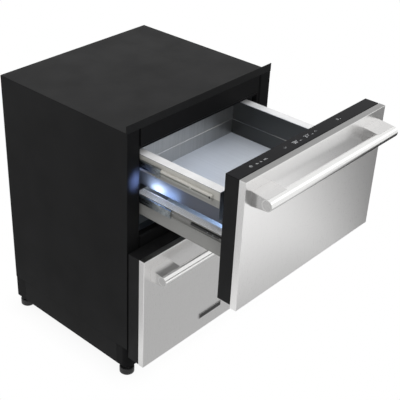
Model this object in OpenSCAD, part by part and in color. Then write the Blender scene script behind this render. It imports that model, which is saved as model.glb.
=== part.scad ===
// Undercounter drawer refrigerator: two drawers, shown with the upper one open.
// Floor at z = 0, front towards -Y, left side at -X. Lengths are millimetres.

/* [Cabinet] */
// Width over the side panels
cab_w = 606; // [580:1:630]
// Depth from the front frame to the rear edge
cab_d = 534; // [520:1:560]
// Thickness of the steel wrapper
sheet_t = 1.5; // [1:0.1:2]
// Width of a front stile, which is also the insulated wall
stile_w = 52; // [48:1:58]
// Depth of the front frame
frame_d = 22; // [18:1:26]
// Height of the header rail
header_h = 65; // [60:1:70]
// Height of the rail between the drawers
mid_rail_h = 54; // [48:1:60]
// Height of the sill rail
sill_h = 30; // [26:1:34]
// Height of the raised lip along the front edge of the top
lip_h = 22; // [14:1:30]
// Overhang of the lip past each side
lip_over = 1.5; // [0:0.5:3]

/* [Base] */
// Height of a levelling foot under the base
foot_h = 35; // [30:1:45]
// Radius of a levelling foot
foot_r = 23.5; // [19:0.5:23.5]
// Height of the base skirt
base_h = 77; // [70:1:84]
// Rounding of the base's front corners
base_r = 22; // [10:1:30]
// Side of a corner post
post_w = 46; // [44:1:52]

/* [Drawer fronts] */
// How far a drawer front's side stands in from the cabinet's side
front_in = 1; // [0:0.5:4]
// Height of the upper drawer front
upper_front_h = 380; // [372:1:400]
// Height of the lower drawer front
lower_front_h = 386; // [378:1:400]
// Gap between the two fronts
front_gap = 14; // [8:1:20]
// How far the lower front hangs below the sill
front_drop = 30; // [20:1:40]
// How far the upper front stands above the top panel
front_rise = 17; // [5:1:20]
// Depth of the insulated core of a front
core_d = 41; // [36:1:46]
// Depth of the steel facing pan
facing_d = 19.6; // [14:0.2:24]
// Shadow gap between core and facing
shadow_gap = 2.5; // [1:0.5:4]
// How far the upper core stops above its facing's lower edge
core_lift = 10; // [0:1:14]
// Travel of the upper drawer in this pose
upper_open = 327; // [250:1:350]

/* [Handles] */
// Distance from the side of a front to the end of its handle bar
handle_in = 25; // [12:1:60]
// Diameter of a handle bar
bar_d = 31; // [26:1:34]
// Distance from the facing to the bar's axis
bar_out = 47; // [42:1:55]
// Height of a bracket where it meets the facing
bracket_h = 41; // [36:1:46]
// Length of a bracket along the bar
bracket_l = 75; // [50:1:90]
// Distance from the top of the front to the top of the bracket
handle_drop = 33; // [26:1:50]

/* [Drawer boxes] */
// Side clearance that holds a slide
slide_gap = 11; // [11:0.5:13]
// Height of a slide's cabinet member
slide_h = 30; // [28:1:34]
// Length of the upper bin
bin_l = 355; // [345:1:358]
// Distance from the closed frame to the front of the bin
bin_setback = 55; // [45:1:70]
// Depth of the upper bin
bin_depth = 112; // [95:1:116]
// Height of the bin's side rails
bin_rail_h = 48; // [44:1:52]
// Width of the bin's rim
bin_rim_w = 28; // [22:1:34]
// Depth of the bin's rear shelf
bin_shelf = 22; // [18:1:26]
// Distance from the top of the upper front to the bin's rim
bin_drop = 105; // [100:1:115]
// Distance from the bin's rim down to the basket's rim
basket_drop = 123; // [120:1:130]
// Length of the drawer baskets
basket_l = 350; // [320:1:360]
// Height of a basket's side skirt
skirt_h = 67; // [60:1:72]
// Width of a basket's rim
basket_rim_w = 25; // [20:1:30]
// Depth of the upper basket
upper_basket_depth = 80; // [72:1:90]
// Depth of the lower basket
lower_basket_depth = 270; // [220:1:275]
// Length of the lower basket's pan, ahead of the machine space
lower_pan_l = 290; // [250:1:300]

/* [Machine space] */
// Depth of the machine space at the rear
machine_d = 194; // [185:1:200]
// Height of the machine space above the base
machine_h = 150; // [145:1:160]
// Radius of the compressor shell
comp_r = 66; // [55:1:70]

/* [Hidden] */
$fn = 48;

// Clearances
fit = 0.3;
play = 0.05;
over = 2;

// Heights, from the floor up
base_z1 = foot_h + base_h;
low_z0 = base_z1 - front_drop;
low_z1 = low_z0 + lower_front_h;
up_z0 = low_z1 + front_gap;
up_z1 = up_z0 + upper_front_h;
cab_z1 = up_z1 - front_rise;
top_t = 2;
panel_z1 = cab_z1 - top_t;
sill_z1 = base_z1 + sill_h;
rail_z0 = (low_z1 + up_z0 - mid_rail_h) / 2;
rail_z1 = rail_z0 + mid_rail_h;
header_z0 = cab_z1 - header_h;
machine_z1 = base_z1 + machine_h;

// Places across and along
cab_x = cab_w / 2;
front_w = cab_w - 2 * front_in;
handle_l = front_w - 2 * handle_in;
open_x = cab_x - stile_w;
box_x = open_x - slide_gap;
machine_y0 = cab_d - machine_d;
gasket_t = 4.2;
core_y1 = -gasket_t - fit;
core_y0 = core_y1 - core_d;
facing_y1 = core_y0 - shadow_gap;
facing_y0 = facing_y1 - facing_d;
handle_reach = bar_out + bar_d / 2;
origin_y = (upper_open + handle_reach - facing_y0 - cab_d) / 2;

// Shell, liner and insulation
panel_flange = 14;
step_in = 4;
step_w = 6;
skin_t = 1.2;
liner_t = 2;
rear_wall_t = 64;
liner_y0 = frame_d + fit;
liner_y1 = cab_d - rear_wall_t;

// Feet
foot_in = foot_r + fit;
foot_x = cab_x - foot_in;
foot_y1 = cab_d - foot_in;
stud_r = 5;
stud_l = 34;

// Rear cover and power inlet
machine_x = cab_x - sheet_t - fit;
ceiling_z = machine_z1 - liner_t - fit;
floor_z = foot_h + sheet_t;
screw_head_h = 2;
screw_head_r = 4;
shank_r = 2;
cover_y1 = cab_d - screw_head_h - play;
cover_y0 = cover_y1 - sheet_t;
cover_low_x = cab_x - post_w - fit;
cover_screw_in = 10;
cover_screw_x = machine_x - cover_screw_in;
cover_screw_shares = [0.1, 0.5, 0.9];
cover_screw_at = [for (x = [-cover_screw_x, cover_screw_x], share = cover_screw_shares)
                  [x, base_z1 + share * machine_h]];
inlet_in = 66;
inlet_up = 24;
inlet_w = 48;
inlet_h = 30;
inlet_x = cab_x - inlet_in;
inlet_z = base_z1 + inlet_up;

// Compressor
comp_in = 158;
comp_x = cab_x - comp_in;
comp_y = machine_y0 + machine_d / 2;
comp_head = 46;
comp_foot = 78;
mount_h = 14;
comp_z0 = floor_z + mount_h;
comp_z1 = ceiling_z - comp_head;
stub_l = 10;
stub_gap = 16;
suction_drop = 50;
discharge_up = 40;
suction_z = comp_z1 - suction_drop;
discharge_z = comp_z0 + discharge_up;

// Condenser and its fan
coil_end_t = 2;
coil_in = 52;
coil_gap = 65;
coil_w = cab_x - coil_in - coil_gap;
coil_d = 34;
coil_h = 180;
coil_x = -coil_gap - coil_w / 2;
coil_back = 8;
coil_y0 = cover_y0 - coil_back - coil_d;
coil_z0 = floor_z + fit;
fan_share = 0.7;
fan_r = coil_w / 2 * fan_share;
fan_hub_r = 17;
fan_d = 24;
fan_back = 4;
fan_z = coil_z0 + coil_h / 2;
shaft_r = 3;
shaft_share = 0.6;
bore_share = 0.75;
shroud_t = 3;
shroud_y1 = coil_y0 - fit;
motor_r = 21;
motor_l = 34;
motor_gap = 2;
fan_y0 = shroud_y1 - fan_back - fan_d;

// Drier, tubes and drain
drier_x = (comp_x - comp_r - stub_l - coil_gap) / 2;
drier_back = 40;
drier_up = 60;
drier_l = 92;
drier_r = 9;
drier_neck_l = 12;
drier_y = comp_y + drier_back;
drier_z0 = coil_z0 + drier_up;
line_r = 3;
feed_r = line_r / 2;
drain_r = 6;
drain_wall = 2;
drain_front = 24;
drain_y = comp_y - drain_front;

// Evaporator, its cover and its fan
evap_in = 61;
evap_w = 2 * (open_x - evap_in);
evap_d = 30;
evap_h = 200;
evap_back = 2;
evap_up = 40;
evap_y0 = liner_y1 - evap_back - evap_d;
evap_mid_y = evap_y0 + evap_d / 2;
evap_z0 = machine_z1 + evap_up;
riser_gap = 16;
feed_x = evap_w / 2 + riser_gap;
return_x = evap_w / 2 + 2 * riser_gap;
duct_t = 2;
duct_front = 14;
duct_head = 130;
duct_x = open_x - 2 * fit;
duct_y0 = evap_y0 - duct_front;
duct_z1 = evap_z0 + evap_h + duct_head;
evap_fan_r = 44;
evap_fan_hub_r = 13;
evap_fan_d = 18;
evap_fan_drop = 62;
evap_fan_back = 6;
evap_fan_z = duct_z1 - evap_fan_drop;
evap_fan_y0 = liner_y1 - evap_fan_back - evap_fan_d;

// Slides
member_t = 1.2;
web_gap = 0.8;
ball_gap = 2.4;
slide_setback = 36;
slide_l = 350;
bin_slide_setback = 78;
bin_slide_l = 294;
mid_short = 16;
outer_lip = 7.4;
mid_lip = 6;
mid_h = slide_h - 2 * (member_t + ball_gap);
inner_h = mid_h - 2 * (member_t + ball_gap);
slide_x1 = open_x - fit;
slide_x0 = box_x + fit;
mid_x1 = slide_x1 - member_t - web_gap;
outer_lip_x = slide_x1 - outer_lip;
mid_lip_x = mid_x1 - mid_lip;
inner_lip_x = mid_x1 - member_t - web_gap;
screw_at = [33, 51, 240];
slide_screw_r = 2;
slide_head_r = 3.6;
slide_head_h = 2;

// Drawer boxes
bin_z1 = up_z1 - bin_drop;
bin_z0 = bin_z1 - bin_depth;
bin_in_x = box_x - bin_rim_w;
bin_y0 = bin_setback;
bin_y1 = bin_y0 + bin_l;
bin_wall_y1 = bin_y1 - bin_shelf;
bin_front_h = 86;
rail_t = 3;
basket_z1 = bin_z1 - basket_drop;
basket_y0 = 2;
basket_in_x = box_x - basket_rim_w;
lower_basket_drop = 43;
lower_basket_z1 = low_z1 - lower_basket_drop;
pad_drop = 6;
slide_drop = 12;
bin_slide_z = bin_z1 - bin_rail_h / 2;
upper_slide_z = basket_z1 - slide_drop;
lower_slide_z = lower_basket_z1 - slide_drop;

// Fronts, seals and handles
core_in = 1.2;
core_x = front_w / 2 - core_in;
neck_in = 6;
strip_t = 1.6;
gasket_w = 9;
gasket_in = 6;
gasket_x = open_x + step_w + step_in + gasket_w + gasket_in;
bar_y = facing_y0 - bar_out;
bar_r = bar_d / 2;
bar_wall = 2.4;

// Places a piece of the cabinet in the part's own frame
module placed() {
    translate([0, origin_y, 0]) children();
}

// Places a piece that moves with the upper drawer
module drawn() {
    translate([0, origin_y - upper_open, 0]) children();
}

// Places a slide's middle member, which goes half as far
module half_drawn() {
    translate([0, origin_y - upper_open / 2, 0]) children();
}

// One piece on each side
module both_sides() {
    children();
    mirror([1, 0, 0]) children();
}

// Box between two corners
module block(p, q) {
    translate(p) cube(q - p);
}

// Rectangle with round corners, centred
module round_rect(w, h, r) {
    square([w - 2 * r, h], center = true);
    square([w, h - 2 * r], center = true);
    for (x = [-1, 1], y = [-1, 1])
        translate([x * (w / 2 - r), y * (h / 2 - r)]) circle(r);
}

// Block with rounded edges, by its low corner and size
module soft_block(p, s, r) {
    translate(p + s / 2) intersection() {
        linear_extrude(s[2], center = true) round_rect(s[0], s[1], r);
        rotate([90, 0, 90])
            linear_extrude(s[0], center = true) round_rect(s[1], s[2], r);
        rotate([90, 0, 0])
            linear_extrude(s[1], center = true) round_rect(s[0], s[2], r);
    }
}

// Profile in the YZ plane drawn along X
module along_x(x0, x1) {
    translate([x0, 0, 0]) rotate([90, 0, 90]) linear_extrude(x1 - x0) children();
}

// Profile in the XZ plane drawn along Y
module along_y(y0, y1) {
    translate([0, y1, 0]) rotate([90, 0, 0]) linear_extrude(y1 - y0) children();
}

// Cabinet shell

// A side sheet with its rear flange and, lower down, the flange that takes the rear cover
module side_panel() {
    block([cab_x - sheet_t, 0, base_z1], [cab_x, cab_d, panel_z1]);
    block([cab_x - panel_flange, cab_d - sheet_t, machine_z1],
          [cab_x - sheet_t + fit, cab_d, panel_z1]);
    difference() {
        block([cab_x - 1.5 * panel_flange, cover_y0 - fit - sheet_t, base_z1 + fit],
              [cab_x - sheet_t + fit, cover_y0 - fit, machine_z1 - fit]);
        for (p = cover_screw_at)
            translate([p[0], cover_y0 - 4 * sheet_t, p[1]])
                rotate([-90, 0, 0]) cylinder(r = shank_r + play, h = 4 * sheet_t);
    }
}

module side_panels() {
    color([0.13, 0.13, 0.13]) placed() both_sides() side_panel();
}

module top_panel() {
    lid_x = cab_x - sheet_t - fit;
    edge_r = top_t / 2;
    color([0.16, 0.16, 0.16]) placed() {
        along_y(0, cab_d) {
            translate([-cab_x, panel_z1]) square([cab_w, top_t - edge_r]);
            translate([-cab_x + edge_r, panel_z1]) square([cab_w - 2 * edge_r, top_t]);
            for (x = [-1, 1])
                translate([x * (cab_x - edge_r), cab_z1 - edge_r]) circle(edge_r);
        }
        both_sides()
            block([lid_x - sheet_t, frame_d + fit, panel_z1 - panel_flange],
                  [lid_x, cab_d - 2 * sheet_t - fit, panel_z1 + fit]);
    }
}

module rear_panel() {
    rear_x = cab_x - panel_flange - fit;
    z0 = machine_z1 + fit;
    z1 = panel_z1 - fit;
    rib_w = 12;
    rib_n = 3;
    pitch = (z1 - z0) / (rib_n + 1);
    plug_r = 16;
    color([0.15, 0.15, 0.15]) placed() difference() {
        block([-rear_x, cab_d - 2 * sheet_t, z0], [rear_x, cab_d, z1]);
        for (i = [1 : rib_n])
            block([-rear_x + 3 * rib_w, cab_d - sheet_t, z0 + i * pitch - rib_w / 2],
                  [rear_x - 3 * rib_w, cab_d + over, z0 + i * pitch + rib_w / 2]);
        for (x = [-1, 1])
            translate([x * rear_x / 2, cab_d - sheet_t, z1 - pitch / 2])
                rotate([-90, 0, 0]) cylinder(r = plug_r, h = sheet_t + over);
    }
}

module top_lip() {
    lip_x = cab_x + lip_over;
    foot_d = 18;
    notch = 3;
    color([0.18, 0.18, 0.18]) placed() {
        block([-lip_x, 0, cab_z1 - notch], [-cab_x - fit, sheet_t, cab_z1 + lip_h]);
        block([cab_x + fit, 0, cab_z1 - notch], [lip_x, sheet_t, cab_z1 + lip_h]);
        block([-lip_x, 0, cab_z1 + fit], [lip_x, sheet_t, cab_z1 + lip_h]);
        block([-cab_x + lip_h, 0, cab_z1 + fit], [cab_x - lip_h, foot_d, cab_z1 + sheet_t]);
    }
}

// Plan of a stile: a flat face, then a step back for the seal's inner lip
module stile_plan() {
    out_x = cab_x - sheet_t - fit;
    polygon([[out_x, 0], [out_x, frame_d], [open_x, frame_d], [open_x, step_in],
             [open_x + step_w, step_in], [open_x + step_w + step_in, 0]]);
}

module front_stiles() {
    color([0.12, 0.12, 0.12]) placed() both_sides()
        translate([0, 0, base_z1 + fit])
            linear_extrude(panel_z1 - base_z1 - 2 * fit) stile_plan();
}

module front_rails() {
    rail_x = open_x - fit;
    color([0.12, 0.12, 0.12]) placed() {
        along_x(-rail_x, rail_x) {
            // Header, stepped at its lower edge
            polygon([[0, panel_z1 - fit], [frame_d, panel_z1 - fit], [frame_d, header_z0],
                     [step_in, header_z0], [step_in, header_z0 + step_w],
                     [0, header_z0 + step_w + step_in]]);
            // Rail between the drawers
            polygon([[0, rail_z0 + step_in], [step_in, rail_z0], [frame_d, rail_z0],
                     [frame_d, rail_z1], [step_in, rail_z1], [0, rail_z1 - step_in]]);
            // Sill, stepped at its upper edge
            polygon([[0, base_z1 + fit], [frame_d, base_z1 + fit], [frame_d, sill_z1],
                     [step_in, sill_z1], [0, sill_z1 - step_in]]);
        }
    }
}

// Liner and insulation

module liner_walls() {
    color([0.80, 0.82, 0.84]) placed() {
        both_sides()
            block([open_x, liner_y0, machine_z1], [open_x + liner_t, liner_y1, header_z0]);
        both_sides()
            block([open_x, liner_y0, sill_z1],
                  [open_x + liner_t, machine_y0, machine_z1 - fit]);
        block([-open_x, liner_y0, header_z0 + fit],
              [open_x, liner_y1, header_z0 + liner_t + fit]);
        block([-open_x, liner_y1 + fit, machine_z1 + fit],
              [open_x, liner_y1 + liner_t + fit, header_z0]);
    }
}

// Floor, riser and step over the machine space, with holes for the drain and the tubes
module liner_floor() {
    lx = open_x - fit;
    color([0.80, 0.82, 0.84]) placed() difference() {
        along_x(-lx, lx)
            polygon([[liner_y0, sill_z1 - liner_t], [machine_y0, sill_z1 - liner_t],
                     [machine_y0, machine_z1 - liner_t], [liner_y1 - fit, machine_z1 - liner_t],
                     [liner_y1 - fit, machine_z1], [machine_y0 - liner_t, machine_z1],
                     [machine_y0 - liner_t, sill_z1], [liner_y0, sill_z1]]);
        translate([comp_x, drain_y, machine_z1 - 2 * liner_t])
            cylinder(r = drain_r - drain_wall, h = 3 * liner_t);
        translate([feed_x, evap_mid_y, machine_z1 - 2 * liner_t])
            cylinder(r = feed_r + fit, h = 3 * liner_t);
        translate([return_x, evap_mid_y, machine_z1 - 2 * liner_t])
            cylinder(r = line_r + fit, h = 3 * liner_t);
    }
}

module foam_insulation() {
    in_x = open_x + liner_t + fit;
    out_x = cab_x - 2 * sheet_t - 2 * fit;
    rear_y0 = liner_y1 + liner_t + 2 * fit;
    rear_y1 = cab_d - 2 * sheet_t - fit;
    top_z0 = header_z0 + liner_t + 2 * fit;
    color([0.93, 0.90, 0.72]) placed() {
        both_sides() {
            block([in_x, liner_y0, machine_z1 + fit], [out_x, rear_y1, panel_z1 - fit]);
            block([in_x, liner_y0, base_z1 + fit], [out_x, machine_y0, machine_z1]);
        }
        block([-open_x, liner_y0, top_z0], [open_x, rear_y0 - fit, panel_z1 - fit]);
        block([-open_x, rear_y0, machine_z1 + fit], [open_x, rear_y1, panel_z1 - fit]);
        block([-open_x, liner_y0, base_z1 + fit],
              [open_x, machine_y0 - liner_t - fit, sill_z1 - liner_t - fit]);
    }
}

// Base

module base_pan() {
    color([0.12, 0.12, 0.12]) placed() {
        both_sides()
            block([cab_x - sheet_t, post_w + fit, foot_h],
                  [cab_x, cab_d - post_w - fit, base_z1 - fit]);
        block([-cab_x, post_w + fit, foot_h],
              [cab_x, cab_d - post_w - fit, foot_h + sheet_t]);
        block([-cab_x + post_w + fit, frame_d, foot_h],
              [cab_x - post_w - fit, post_w + 2 * fit, foot_h + sheet_t]);
        block([-cab_x + post_w + fit, cab_d - post_w - 2 * fit, foot_h],
              [cab_x - post_w - fit, cab_d, foot_h + sheet_t]);
    }
}

// A post with one rounded outer corner and the foot's threaded bore
module post(r) {
    difference() {
        translate([0, 0, foot_h]) linear_extrude(base_h - fit) {
            translate([r, 0]) square([post_w - r, post_w]);
            translate([0, r]) square([post_w, post_w - r]);
            translate([r, r]) circle(r);
        }
        translate([foot_in, foot_in, foot_h - over])
            cylinder(r = stud_r + play, h = stud_l + over);
    }
}

module corner_posts() {
    rear_r = 3;
    color([0.10, 0.10, 0.10]) placed() both_sides() {
        translate([-cab_x, 0, 0]) post(base_r);
        translate([-cab_x, cab_d, 0]) mirror([0, 1, 0]) post(rear_r);
    }
}

module kick_grille() {
    grille_x = cab_x - post_w - fit;
    z0 = foot_h + sheet_t + fit;
    z1 = base_z1 - 2 * fit;
    slot_w = 8;
    slot_h = 4;
    rows = 7;
    cols = 12;
    dx = (2 * grille_x - 4 * slot_w) / cols;
    dz = (z1 - z0) / (rows + 1);
    plate_y = 6;
    color([0.09, 0.09, 0.09]) placed() difference() {
        block([-grille_x, plate_y, z0], [grille_x, plate_y + 2 * sheet_t, z1]);
        for (i = [0 : cols - 1], j = [1 : rows])
            translate([-grille_x + 2 * slot_w + (i + 0.5) * dx, 0, z0 + j * dz])
                cube([dx - slot_w, 4 * plate_y, slot_h], center = true);
    }
}

// A levelling foot: a round tread, a waist and a threaded stud
module foot(x, y) {
    tread_share = 0.62;
    waist_share = 0.3;
    waist_r_share = 0.55;
    tread_h = foot_h * tread_share;
    edge = 2;
    waist_r = foot_r * waist_r_share;
    waist_h = foot_h * waist_share;
    translate([x, y, 0]) rotate_extrude() {
        polygon([[0, 0], [foot_r - edge, 0], [foot_r, edge], [foot_r, tread_h - edge],
                 [foot_r - edge, tread_h], [waist_r, tread_h],
                 [waist_r, tread_h + waist_h], [stud_r, tread_h + waist_h],
                 [stud_r, foot_h + stud_l - over], [0, foot_h + stud_l - over]]);
    }
}

module foot_front_left() {
    color([0.08, 0.08, 0.08]) placed() foot(-foot_x, foot_in);
}

module foot_front_right() {
    color([0.08, 0.08, 0.08]) placed() foot(foot_x, foot_in);
}

module foot_rear_left() {
    color([0.08, 0.08, 0.08]) placed() foot(-foot_x, foot_y1);
}

module foot_rear_right() {
    color([0.08, 0.08, 0.08]) placed() foot(foot_x, foot_y1);
}

// Machine space

module rear_cover() {
    slot_h = 5;
    slot_rows = 9;
    slot_cols = 4;
    slot_gap = 16;
    z0 = base_z1 + slot_gap;
    dz = (machine_z1 - slot_gap - z0) / slot_rows;
    dx = 2 * (cover_low_x - slot_gap) / slot_cols;
    color([0.14, 0.14, 0.14]) placed() difference() {
        along_y(cover_y0, cover_y1)
            polygon([[-cover_low_x, floor_z + fit], [cover_low_x, floor_z + fit],
                     [cover_low_x, base_z1 + fit], [machine_x, base_z1 + fit],
                     [machine_x, machine_z1 - fit], [-machine_x, machine_z1 - fit],
                     [-machine_x, base_z1 + fit], [-cover_low_x, base_z1 + fit]]);
        for (i = [0 : slot_cols - 1], j = [0 : slot_rows - 1])
            translate([-cover_low_x + slot_gap + (i + 0.5) * dx, cover_y1, z0 + (j + 0.5) * dz])
                cube([dx - slot_gap, 4 * sheet_t, slot_h], center = true);
        translate([inlet_x, cover_y1, inlet_z])
            cube([inlet_w + 2 * fit, 4 * sheet_t, inlet_h + 2 * fit], center = true);
        for (p = cover_screw_at)
            translate([p[0], cover_y0 - over, p[1]])
                rotate([-90, 0, 0]) cylinder(r = shank_r + play, h = 2 * over + sheet_t);
    }
}

// A pan-head screw with its axis along Y and its head towards +Y
module rear_screw() {
    rotate([-90, 0, 0]) {
        cylinder(r = screw_head_r, h = screw_head_h);
        translate([0, 0, -4 * sheet_t]) cylinder(r = shank_r, h = 4 * sheet_t + play);
    }
}

module cover_screws() {
    color([0.60, 0.61, 0.63]) placed()
        for (p = cover_screw_at) translate([p[0], cover_y1 + play, p[1]]) rear_screw();
}

module compressor() {
    weld_lip = 3;
    weld_r = comp_r + weld_lip;
    weld_h = 6;
    weld_share = 0.62;
    weld_z = comp_z0 + (comp_z1 - comp_z0) * weld_share;
    dome_h = 16;
    plate_t = 3;
    stub_r = 5;
    color([0.07, 0.07, 0.07]) placed() {
        translate([comp_x, comp_y, 0]) rotate_extrude()
            polygon([[0, comp_z0 + fit], [comp_r - dome_h, comp_z0 + fit],
                     [comp_r, comp_z0 + dome_h], [comp_r, weld_z], [weld_r, weld_z],
                     [weld_r, weld_z + weld_h], [comp_r, weld_z + weld_h],
                     [comp_r, comp_z1 - dome_h], [comp_r - dome_h, comp_z1], [0, comp_z1]]);
        block([comp_x - comp_foot, comp_y - comp_r / 2, comp_z0 + fit],
              [comp_x + comp_foot, comp_y + comp_r / 2, comp_z0 + fit + plate_t]);
        translate([comp_x - comp_r - stub_l, comp_y, suction_z])
            rotate([0, 90, 0]) cylinder(r = stub_r, h = 2 * stub_l);
        translate([comp_x - comp_r - stub_l, comp_y + stub_gap, discharge_z])
            rotate([0, 90, 0]) cylinder(r = stub_r, h = 2 * stub_l);
    }
}

module compressor_mounts() {
    mount_r = 9;
    waist_r = 6;
    lip = 3;
    color([0.05, 0.05, 0.05]) placed()
        for (x = [-1, 1], y = [-1, 1])
            translate([comp_x + x * (comp_foot - mount_r), comp_y + y * (comp_r / 2 - mount_r), floor_z])
                rotate_extrude()
                    polygon([[0, 0], [mount_r, 0], [mount_r, lip], [waist_r, 2 * lip],
                             [waist_r, mount_h - 2 * lip], [mount_r, mount_h - lip],
                             [mount_r, mount_h], [0, mount_h]]);
}

// A finned coil: upright plates on tubes that run along X
module fin_coil(w, d, h, fins, rows) {
    fin_t = 0.8;
    tube_r = 4;
    dx = w / (fins - 1);
    dz = h / rows;
    for (i = [0 : fins - 1]) {
        t = (i == 0 || i == fins - 1) ? coil_end_t : fin_t;
        translate([-w / 2 + i * dx - t / 2, 0, 0]) cube([t, d, h]);
    }
    for (j = [0 : rows - 1])
        translate([-w / 2 - 2 * coil_end_t, d / 2, (j + 0.5) * dz])
            rotate([0, 90, 0]) cylinder(r = tube_r, h = w + 4 * coil_end_t, $fn = 24);
}

module condenser() {
    color([0.10, 0.10, 0.11]) placed() translate([coil_x, coil_y0, coil_z0])
        fin_coil(coil_w, coil_d, coil_h, 24, 6);
}

module fan_shroud() {
    ring_t = 3;
    ring_l = fan_d + 2 * shroud_t;
    strut_w = 12;
    motor_y1 = fan_y0 - motor_gap;
    color([0.09, 0.09, 0.09]) placed() translate([coil_x, 0, 0]) {
        difference() {
            block([-coil_w / 2, shroud_y1 - shroud_t, coil_z0],
                  [coil_w / 2, shroud_y1, coil_z0 + coil_h]);
            translate([0, shroud_y1 - 4 * shroud_t, fan_z])
                rotate([-90, 0, 0]) cylinder(r = fan_r + ring_t, h = 8 * shroud_t);
        }
        translate([0, shroud_y1 - ring_l, fan_z]) rotate([-90, 0, 0]) difference() {
            cylinder(r = fan_r + 2 * ring_t, h = ring_l);
            translate([0, 0, -over]) cylinder(r = fan_r + ring_t, h = ring_l + 2 * over);
        }
        for (a = [0, 120, 240])
            translate([0, motor_y1 - 2 * shroud_t, fan_z]) rotate([0, a, 0])
                block([-strut_w / 2, 0, motor_r - over], [strut_w / 2, shroud_t, fan_r + 2 * ring_t]);
        for (a = [0, 120, 240])
            translate([0, motor_y1 - 2 * shroud_t, fan_z]) rotate([0, a, 0])
                block([-strut_w / 2, 0, fan_r + ring_t], [strut_w / 2, 4 * shroud_t, fan_r + 2 * ring_t]);
        translate([0, motor_y1 - motor_l, fan_z]) rotate([-90, 0, 0]) {
            cylinder(r = motor_r, h = motor_l);
            cylinder(r = shaft_r, h = motor_l + fan_d * shaft_share);
        }
    }
}

// An axial fan with its axis along Y and its rear face at y = 0
module fan(r, hub_r, depth, blades) {
    blade_t = 1.6;
    pitch = 32;
    rotate([-90, 0, 0]) difference() {
        union() {
            cylinder(r = hub_r, h = depth);
            for (i = [0 : blades - 1]) rotate([0, 0, i * 360 / blades])
                intersection() {
                    translate([(hub_r + r) / 2 - over, 0, depth / 2]) rotate([pitch, 0, 0])
                        cube([r - hub_r + 2 * over, r, blade_t], center = true);
                    difference() {
                        cylinder(r = r, h = depth);
                        translate([0, 0, -over]) cylinder(r = hub_r - over, h = depth + 2 * over);
                    }
                }
        }
        translate([0, 0, -over]) cylinder(r = shaft_r + play, h = depth * bore_share + over);
    }
}

module condenser_fan() {
    color([0.16, 0.16, 0.17]) placed()
        translate([coil_x, fan_y0, fan_z]) fan(fan_r, fan_hub_r, fan_d, 5);
}

// A run of tube through the given points; runs overlap at each turn
module tube_run(points, r) {
    last = len(points) - 2;
    for (i = [0 : last]) {
        d = points[i + 1] - points[i];
        run = norm(d);
        before = i > 0 ? r : 0;
        after = i < last ? r : 0;
        translate(points[i] - before * d / run)
            rotate([0, acos(d[2] / run), atan2(d[1], d[0])])
                cylinder(r = r, h = run + before + after, $fn = 12);
    }
}

module filter_drier() {
    neck_r = 4;
    cone_l = 10;
    color([0.72, 0.45, 0.28]) placed() translate([drier_x, drier_y, drier_z0])
        rotate_extrude()
            polygon([[0, -drier_neck_l], [neck_r, -drier_neck_l], [neck_r, 0],
                     [drier_r, cone_l], [drier_r, drier_l - cone_l], [neck_r, drier_l],
                     [neck_r, drier_l + drier_neck_l], [0, drier_l + drier_neck_l]]);
}

module refrigerant_tubes() {
    bend = 22;
    coil_share = 1 / 12;
    evap_share = 1 / 14;
    stub_x = comp_x - comp_r - stub_l - play;
    coil_x1 = coil_x + coil_w / 2 + 2 * coil_end_t + play;
    evap_x1 = evap_w / 2 + 2 * coil_end_t + play;
    riser_y = coil_y0 + coil_d / 2;
    feed_z = ceiling_z - 4 * line_r;
    return_z = ceiling_z - 6.5 * line_r;
    coil_low_z = coil_z0 + coil_h * coil_share;
    coil_top_z = coil_z0 + coil_h * (1 - coil_share);
    color([0.72, 0.45, 0.28]) placed() {
        // Hot gas, from the compressor to the top of the condenser
        tube_run([[stub_x, comp_y + stub_gap, discharge_z],
                  [stub_x - bend, comp_y + stub_gap, discharge_z],
                  [stub_x - bend, riser_y, discharge_z],
                  [coil_x1 + bend, riser_y, discharge_z],
                  [coil_x1 + bend, riser_y, coil_top_z],
                  [coil_x1, riser_y, coil_top_z]], line_r);
        // Liquid, from the foot of the condenser to the drier
        tube_run([[coil_x1, riser_y, coil_low_z],
                  [drier_x, riser_y, coil_low_z],
                  [drier_x, drier_y, coil_low_z],
                  [drier_x, drier_y, drier_z0 - drier_neck_l - play]], line_r);
        // Thin feed, from the drier up to the evaporator
        tube_run([[drier_x, drier_y, drier_z0 + drier_l + drier_neck_l + play],
                  [drier_x, drier_y, feed_z],
                  [feed_x, drier_y, feed_z],
                  [feed_x, evap_mid_y, feed_z],
                  [feed_x, evap_mid_y, evap_z0 + evap_h * evap_share],
                  [evap_x1, evap_mid_y, evap_z0 + evap_h * evap_share]], feed_r);
        // Return, from the evaporator to the compressor
        tube_run([[stub_x, comp_y, suction_z],
                  [stub_x - bend / 2, comp_y, suction_z],
                  [stub_x - bend / 2, comp_y, return_z],
                  [return_x, comp_y, return_z],
                  [return_x, evap_mid_y, return_z],
                  [return_x, evap_mid_y, evap_z0 + evap_h * (1 - evap_share)],
                  [evap_x1, evap_mid_y, evap_z0 + evap_h * (1 - evap_share)]], line_r);
    }
}

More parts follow.
